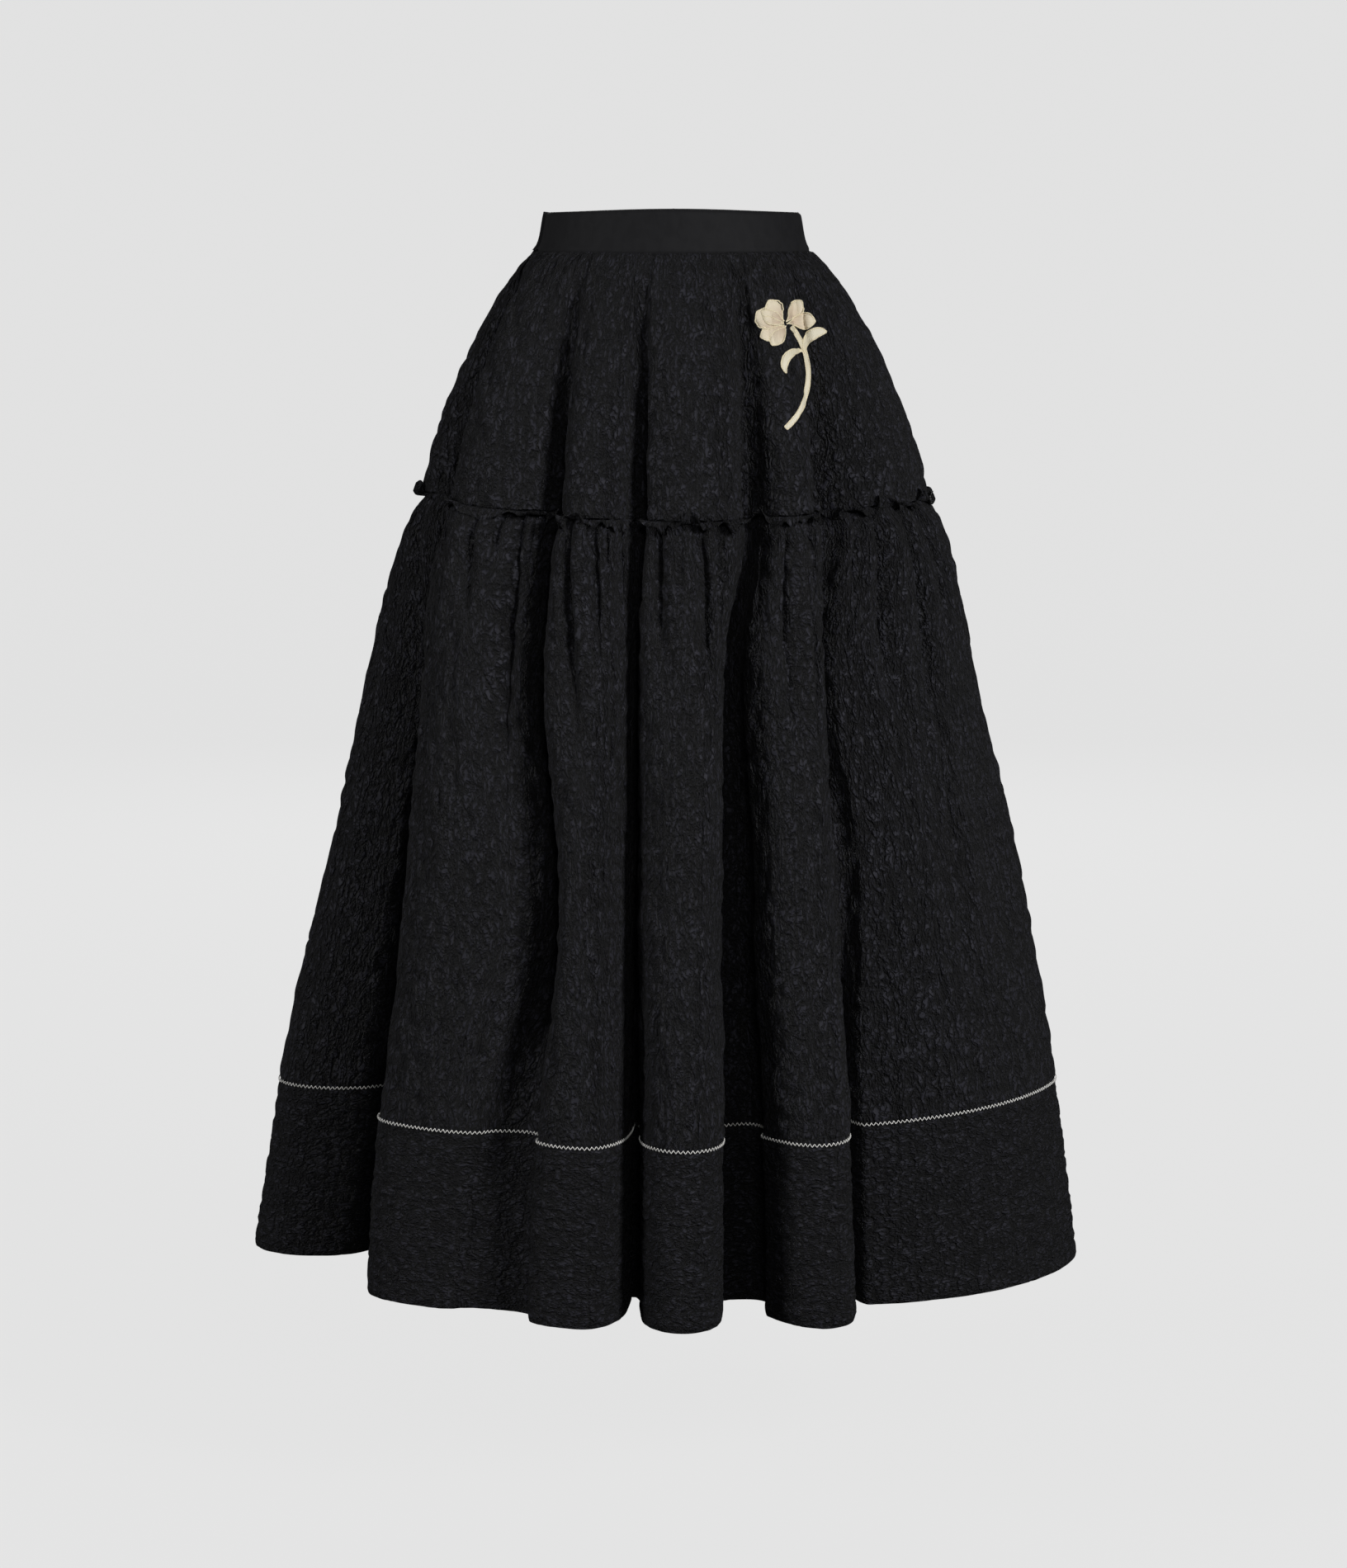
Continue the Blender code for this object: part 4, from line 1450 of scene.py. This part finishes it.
@dataclass
class ZigzagSeam:
    """The machine zigzag that holds the hem band on, in thick off-white thread."""

    finish: SpunPolyester = field(default_factory=SpunPolyester)
    pitch: float = 3.7 * MM
    height: float = 2.6 * MM
    thread: float = 0.37 * MM
    lift: float = 0.9 * MM
    uneven: float = 0.12
    bow: float = 0.35 * MM
    sides: int = 5
    shares: tuple[float, ...] = (0.0, 0.5, 1.0)
    samples: int = 9000

    def build(self, drape: Drape) -> list[bpy.types.Object]:
        """Builds the stitches, front and back.

        Args:
            drape: the worn cloth.

        Returns:
            The two pieces.
        """
        finish = self.finish.material()
        seam = float(RING_INDEX["hem_seam"])
        made = []
        for side, first, last in (("front", 0, SIDE_SEAM_RIGHT), ("back", SIDE_SEAM_RIGHT, ALL_FOLDS)):
            turns = np.linspace(first, last, self.samples)
            rows = np.array([seam - 0.05, seam, seam + 0.05])
            grid = drape.point(turns[None, :], rows[:, None])
            skin = Skin(grid, np.zeros((*grid.shape[:2], 2)))
            steps = np.linalg.norm(np.diff(grid[1], axis=0), axis=-1)
            travelled = np.concatenate([[0.0], np.cumsum(steps)])
            count = int(travelled[-1] / (self.pitch / 2))
            stations = np.interp(np.linspace(0.0, travelled[-1], count), travelled, np.arange(len(turns)))
            index = np.round(stations).astype(int)
            outward = skin.normals()[1][index]
            down = unit(grid[2] - grid[0])[index]
            random = np.random.default_rng(91 + first)
            swing = np.where(np.arange(count) % 2, 0.5, -0.5) * self.height
            swing = swing + random.uniform(-self.uneven, self.uneven, count) * MM
            centre = grid[1][index] + outward * self.lift + down * swing[:, None]
            made.append(self.stitches(f"zigzag_{side}", centre, outward, finish))
        return made

    def stitches(
        self, name: str, ends: np.ndarray, outward: np.ndarray, finish: bpy.types.Material
    ) -> bpy.types.Object:
        """One plump stitch between each two needle holes.

        Args:
            name: the piece's name.
            ends: the needle holes.
            outward: the cloth's normals there.
            finish: the thread's material.

        Returns:
            The object.
        """
        start, stop = ends[:-1], ends[1:]
        along = unit(stop - start)
        out = unit((outward[:-1] + outward[1:]) / 2)
        across = np.cross(along, out)
        rings = []
        for share in self.shares:
            bow = math.sin(math.pi * share)
            radius = self.thread * (0.78 + 0.22 * bow)
            middle = start + (stop - start) * share + out * (self.bow * bow)
            for k in range(self.sides):
                angle = math.tau * k / self.sides
                rings.append(middle + (across * math.cos(angle) + out * math.sin(angle) * 0.8) * radius)
        points = np.stack(rings, axis=1)
        faces = []
        for ring in range(len(self.shares) - 1):
            for k in range(self.sides):
                a, b = ring * self.sides + k, ring * self.sides + (k + 1) % self.sides
                faces.append([a, b, b + self.sides, a + self.sides])
        faces.append(list(range(self.sides))[::-1])
        faces.append([(len(self.shares) - 1) * self.sides + k for k in range(self.sides)])
        number, per_stitch = points.shape[:2]
        all_faces = [[v + n * per_stitch for v in face] for n in range(number) for face in faces]
        metres = np.zeros((number * per_stitch, 2))
        piece = mesh_object(name, points.reshape(-1, 3), all_faces, metres, finish)
        declare(piece, "embroidery_thread")
        return piece


@dataclass(frozen=True)
class Stitched:
    """A petal, leaf or stem in satin stitch: a bent spine and how wide the stitches are along it.

    root is in millimetres right of and above the flower's heart, start_deg the spine's heading there
    and bend_deg how far it turns by its end.
    """

    name: str
    root: tuple[float, float]
    start_deg: float
    bend_deg: float
    length: float
    width: float
    widest: float
    layer: int
    blunt: float = 0.8
    ruffle: float = 0.0
    narrow: float = 0.0

    def spine(self, shares: np.ndarray) -> np.ndarray:
        """The middle line.

        Args:
            shares: places along it, 0 at the root and 1 at the tip.

        Returns:
            The points, in metres from the heart.
        """
        steps = np.linspace(0.0, 1.0, 60)
        heading = np.radians(self.start_deg + self.bend_deg * steps)
        walk = np.stack([np.cos(heading), np.sin(heading)], axis=-1) * self.length / (len(steps) - 1)
        line = np.concatenate([[[0.0, 0.0]], np.cumsum(walk[:-1], axis=0)])
        line = (line + np.array(self.root)) * MM
        return np.stack([np.interp(shares, steps, line[:, k]) for k in (0, 1)], axis=-1)

    def half_widths(self, shares: np.ndarray) -> np.ndarray:
        """How wide the stitches are.

        Args:
            shares: places along the spine.

        Returns:
            Half the width at each, in metres.
        """
        power = math.log(0.5) / math.log(self.widest)
        form = np.sin(math.pi * np.clip(shares, 0.0, 1.0) ** power) ** self.blunt
        form = np.maximum(form, 0.0) * (1.0 - self.narrow) + self.narrow
        wave = 1.0 + self.ruffle * np.sin(shares * 31.0 + self.start_deg) * shares
        return self.width / 2 * MM * form * wave

    def edges(self, count: int) -> tuple[np.ndarray, np.ndarray, np.ndarray]:
        """The shape from root to tip, closer at both ends.

        Args:
            count: how many places along it.

        Returns:
            The spine's points, the direction across it and the half widths.
        """
        shares = 0.5 - 0.5 * np.cos(np.linspace(0.0, math.pi, count))
        line = self.spine(shares)
        along = unit(np.gradient(line, axis=0))
        side = np.stack([-along[:, 1], along[:, 0]], axis=-1)
        return line, side, self.half_widths(shares)


@dataclass
class HipFlower:
    """The embroidered flower on the wearer's left hip: padded satin stitch edged with a couched cord."""

    ground: ClothPanel
    at: tuple[float, float] = (0.0900, -0.0735)
    lift: float = 0.7 * MM
    layer_step: float = 0.28 * MM
    pad: float = 0.7 * MM
    cord: float = 0.52 * MM
    cord_rise: float = 0.25 * MM
    cord_sides: int = 6
    edge_lift: float = 0.1 * MM
    fill_columns: int = 11
    fill_rows: int = 30
    cord_rows: int = 34
    petals: tuple[Stitched, ...] = (
        Stitched("petal_low_outer", (-1.0, -2.0), 214.0, -16.0, 20.5, 12.5, 0.66, 0, ruffle=0.04),
        Stitched("petal_low_inner", (0.5, -2.5), 232.0, 6.0, 19.0, 10.5, 0.64, 1, ruffle=0.03),
        Stitched("petal_right", (1.0, -1.0), 14.0, -22.0, 23.5, 13.5, 0.66, 1, ruffle=0.03),
        Stitched("petal_upper_right", (0.5, 0.5), 52.0, -6.0, 21.5, 12.0, 0.64, 2, ruffle=0.02),
        Stitched("bud_outer", (-1.5, -1.0), 170.0, -28.0, 23.5, 17.0, 0.62, 2, ruffle=0.07),
        Stitched("bud_upper", (-1.0, 1.0), 134.0, -14.0, 20.5, 13.5, 0.64, 3, ruffle=0.06),
        Stitched("bud_middle", (-2.0, 0.0), 158.0, -12.0, 18.5, 10.5, 0.60, 4, ruffle=0.05),
        Stitched("bud_inner", (-2.0, -1.0), 176.0, -30.0, 17.0, 6.0, 0.58, 5, ruffle=0.04),
    )
    leaves: tuple[Stitched, ...] = (
        Stitched("leaf_right", (16.8, -26.0), 106.0, -122.0, 30.0, 8.4, 0.62, 1, blunt=0.72),
        Stitched("leaf_left", (14.6, -23.6), 160.0, 142.0, 28.5, 6.2, 0.52, 1, blunt=0.85),
    )
    stem: Stitched = Stitched("stem", (5.0, -3.5), -50.0, -88.0, 88.5, 3.6, 0.5, 0, blunt=0.1, narrow=0.86)

    def laid(self, tree: BVHTree, flat: np.ndarray, height: np.ndarray | float) -> np.ndarray:
        """Points given as seen from the front, laid on the cloth.

        Args:
            tree: the puckered cloth under the flower.
            flat: metres right of and above the flower's heart.
            height: metres to stand off the cloth.

        Returns:
            The points.
        """
        height = np.broadcast_to(height, flat.shape[:-1]).ravel()
        points = []
        for (x, z), off in zip(flat.reshape(-1, 2), height):
            hit, facing = tree.ray_cast(Vector((self.at[0] + x, -1.0, self.at[1] + z)), Vector((0, 1, 0)))[:2]
            points.append(hit + facing.normalized() * float(off))
        return np.array(points).reshape(*flat.shape[:-1], 3)

    def fill(self, shape: Stitched, tree: BVHTree, finish: bpy.types.Material) -> bpy.types.Object:
        """The padded stitches of one shape.

        Args:
            shape: the petal, leaf or stem.
            tree: the puckered cloth.
            finish: the floss.

        Returns:
            The object.
        """
        across = np.linspace(-1.0, 1.0, self.fill_columns)
        line, side, half = shape.edges(self.fill_rows)
        flat = line[:, None, :] + side[:, None, :] * (half[:, None] * across[None, :])[..., None]
        dome = np.sqrt(np.maximum(1.0 - across**2, 0.0)) * self.pad
        padding = dome[None, :] * np.clip(half[:, None] / 2e-3, 0, 1)
        height = self.lift + shape.layer * self.layer_step + padding
        height[:, [0, -1]] = self.edge_lift
        points = self.laid(tree, flat, height)
        down = np.concatenate([[0.0], np.cumsum(np.linalg.norm(np.diff(line, axis=0), axis=-1))])
        metres = np.stack(np.broadcast_arrays(half[:, None] * across, down[:, None]), axis=-1)
        faces = grid_faces(0, *points.shape[:2], inward=True)
        made = mesh_object(f"{shape.name}_fill", points.reshape(-1, 3), faces, metres.reshape(-1, 2), finish)
        share = made.data.attributes.new(SHARE_NAME, "FLOAT", "POINT")
        along = np.broadcast_to(down[:, None] / down[-1], flat.shape[:2]).astype(np.float32)
        share.data.foreach_set("value", along.ravel())
        return made

    def edging(self, shape: Stitched, tree: BVHTree, finish: bpy.types.Material) -> bpy.types.Object:
        """The cord couched round a shape.

        Args:
            shape: the petal or leaf.
            tree: the puckered cloth.
            finish: the cord's floss.

        Returns:
            The object.
        """
        line, side, half = shape.edges(self.cord_rows)
        left = line + side * half[:, None]
        right = line - side * half[:, None]
        flat = np.concatenate([left, right[::-1]])
        height = self.lift + shape.layer * self.layer_step + self.cord_rise
        points = self.laid(tree, flat, height)
        points = np.concatenate([points, points[:1]])
        along = unit(np.gradient(points, axis=0))
        toward = np.broadcast_to(np.array([0.0, -1.0, 0.0]), points.shape)
        across = unit(np.cross(along, toward))
        out = unit(np.cross(across, along))
        angles = [math.tau * k / self.cord_sides for k in range(self.cord_sides + 1)]
        grid = np.stack([points + (across * math.cos(a) + out * math.sin(a)) * self.cord for a in angles])
        metres = cloth_metres(grid)
        faces = grid_faces(0, *grid.shape[:2])
        made = mesh_object(f"{shape.name}_cord", grid.reshape(-1, 3), faces, metres.reshape(-1, 2), finish)
        share = made.data.attributes.new(SHARE_NAME, "FLOAT", "POINT")
        share.data.foreach_set("value", np.full(len(made.data.vertices), 0.5, np.float32))
        return made

    def build(self, drape: Drape) -> list[bpy.types.Object]:
        """Builds and joins the flower's head, stem and leaves.

        Args:
            drape: the worn cloth.

        Returns:
            The four pieces.
        """
        cloth = self.ground.skins(drape)[1].points
        tree = BVHTree.FromPolygons(
            [Vector(p) for p in cloth.reshape(-1, 3)], grid_faces(0, *cloth.shape[:2])
        )
        petal = RayonFloss("cream_floss_petal", "#CDB49C", "#FAF0D8").material()
        leaf = RayonFloss("cream_floss_leaf", "#F2EACF", "#FBF6E2", slant=0.9).material()
        cord = RayonFloss("gold_floss_cord", "#FBF1D2", "#FBF1D2", slant=1.1).material()
        made = []
        for name, shapes, floss, node in (
            ("flower_open_head", self.petals, petal, "flower_head"),
            ("flower_right_leaf", self.leaves[:1], leaf, "flower_leaf_right"),
            ("flower_left_leaf", self.leaves[1:], leaf, "flower_leaf_left"),
            ("flower_long_stem", (self.stem,), leaf, "flower_stem"),
        ):
            parts = []
            for shape in shapes:
                parts += [self.fill(shape, tree, floss), self.edging(shape, tree, cord)]
            piece = joined(name, parts)
            declare(piece, "embroidery_thread", node)
            made.append(piece)
        return made


def joined(name: str, parts: list[bpy.types.Object]) -> bpy.types.Object:
    """Joins meshes into one piece.

    Args:
        name: the piece's name.
        parts: the meshes, of which the first stays.

    Returns:
        The piece.
    """
    with bpy.context.temp_override(
        active_object=parts[0], object=parts[0], selected_objects=parts, selected_editable_objects=parts
    ):
        bpy.ops.object.join()
    parts[0].name = name
    parts[0].data.name = name
    return parts[0]


class SoftLight(NamedTuple):
    """A square soft light that faces the skirt: where it stands, its side in metres and its watts."""

    name: str
    place: tuple[float, float, float]
    size: float
    watts: float


@dataclass
class Studio:
    """A pale sweep, soft light from in front, some from behind, and the camera."""

    paper: str = "#E2E2E2"
    paper_lit: str = "#3A3A3A"
    paper_glow: float = 0.99
    air: str = "#DDDDDD"
    air_glow: float = 0.03
    floor_z: float = -1.05
    wall_y: float = 7.2
    wall_z: float = 6.0
    cove: float = 1.2
    cove_steps: int = 12
    near_y: float = -7.0
    half_width: float = 8.0
    camera_away: float = 3.5
    camera_z: float = 0.012
    look_down_deg: float = 7.73
    lens: float = 96.03
    lights: tuple[SoftLight, ...] = (
        SoftLight("right_soft", (2.3, -2.6, 0.8), 0.8, 84.0),
        SoftLight("left_soft", (-3.1, -1.3, 0.6), 0.8, 41.0),
        SoftLight("front_fill", (0.3, -3.6, 1.2), 0.7, 22.0),
        SoftLight("back_soft", (0.0, 4.4, 0.9), 0.8, 70.0),
    )
    lit_point: tuple[float, float, float] = (0.0, 0.0, -0.42)

    def sweep(self) -> None:
        """The floor, curving up into the backdrop."""
        cove_y = self.wall_y - self.cove
        profile = [(self.near_y, self.floor_z), (cove_y, self.floor_z)]
        for k in range(1, self.cove_steps + 1):
            angle = math.radians(90.0 * k / self.cove_steps)
            rise = self.cove * (1 - math.cos(angle))
            profile.append((cove_y + self.cove * math.sin(angle), self.floor_z + rise))
        profile.append((self.wall_y, self.wall_z))
        line = np.array(profile)
        sides = (-self.half_width, self.half_width)
        grid = np.stack([np.column_stack([np.full(len(line), x), line]) for x in sides], axis=1)
        material, tree, shader = new_material("pale_paper")
        feed(tree, shader, {
            "Base Color": linear(self.paper_lit), "Roughness": 1.0, "Specular IOR Level": 0.0,
            "Emission Color": linear(self.paper), "Emission Strength": self.paper_glow,
        })
        faces = grid_faces(0, *grid.shape[:2], inward=True)
        metres = np.zeros((grid.shape[0] * 2, 2))
        made = mesh_object("paper_sweep", grid.reshape(-1, 3), faces, metres, material)
        made.visible_diffuse = False
        made.visible_glossy = False

    def light(self, soft: SoftLight) -> None:
        """Stands a light.

        Args:
            soft: the light.
        """
        data = bpy.data.lights.new(soft.name, "AREA")
        data.size, data.energy = soft.size, soft.watts
        made = bpy.data.objects.new(soft.name, data)
        made.location = soft.place
        made.rotation_mode = "QUATERNION"
        made.rotation_quaternion = (Vector(self.lit_point) - Vector(soft.place)).to_track_quat("-Z", "Y")
        bpy.context.scene.collection.objects.link(made)

    def build(self) -> None:
        """Sets up the studio."""
        scene = bpy.context.scene
        self.sweep()
        for soft in self.lights:
            self.light(soft)
        world = bpy.data.worlds.new("studio_air")
        world.use_nodes = True
        background = world.node_tree.nodes["Background"]
        feed(world.node_tree, background, {"Color": linear(self.air), "Strength": self.air_glow})
        scene.world = world
        scene.view_settings.view_transform = "Standard"
        data = bpy.data.cameras.new("camera")
        data.lens = self.lens
        camera = bpy.data.objects.new("camera", data)
        camera.location = (0.0, -self.camera_away, self.camera_z)
        camera.rotation_euler = (math.radians(90.0 - self.look_down_deg), 0.0, 0.0)
        scene.collection.objects.link(camera)
        scene.camera = camera


def main() -> None:
    """Builds the studio and every piece, in the order that they are sewn."""
    logging.basicConfig(level=logging.INFO, format="%(name)s: %(message)s")
    drape = Drape(FRONT_GATHERS + hidden_gathers(SIDE_SEAM_RIGHT, ALL_FOLDS, 23, 17))
    upright = CottonCloque("black_cotton_cloque", Grain.UPRIGHT)
    crossways = CottonCloque("black_cotton_cloque_crossways", Grain.CROSSWAYS)
    Studio().build()
    hip = UpperTier(upright)
    pieces = []
    for part in (
        Waistband(),
        hip,
        GatheredTier(upright),
        HemBand(crossways),
        SeamFrill(upright, FRONT_LIPS + hidden_lips(SIDE_SEAM_RIGHT, ALL_FOLDS, 19, 29)),
        ZigzagSeam(),
        HipFlower(hip.panels()[0]),
    ):
        pieces += part.build(drape)
        LOG.info("%s built", type(part).__name__)
    LOG.info("%d pieces", len(pieces))


if __name__ == "__main__":
    main()
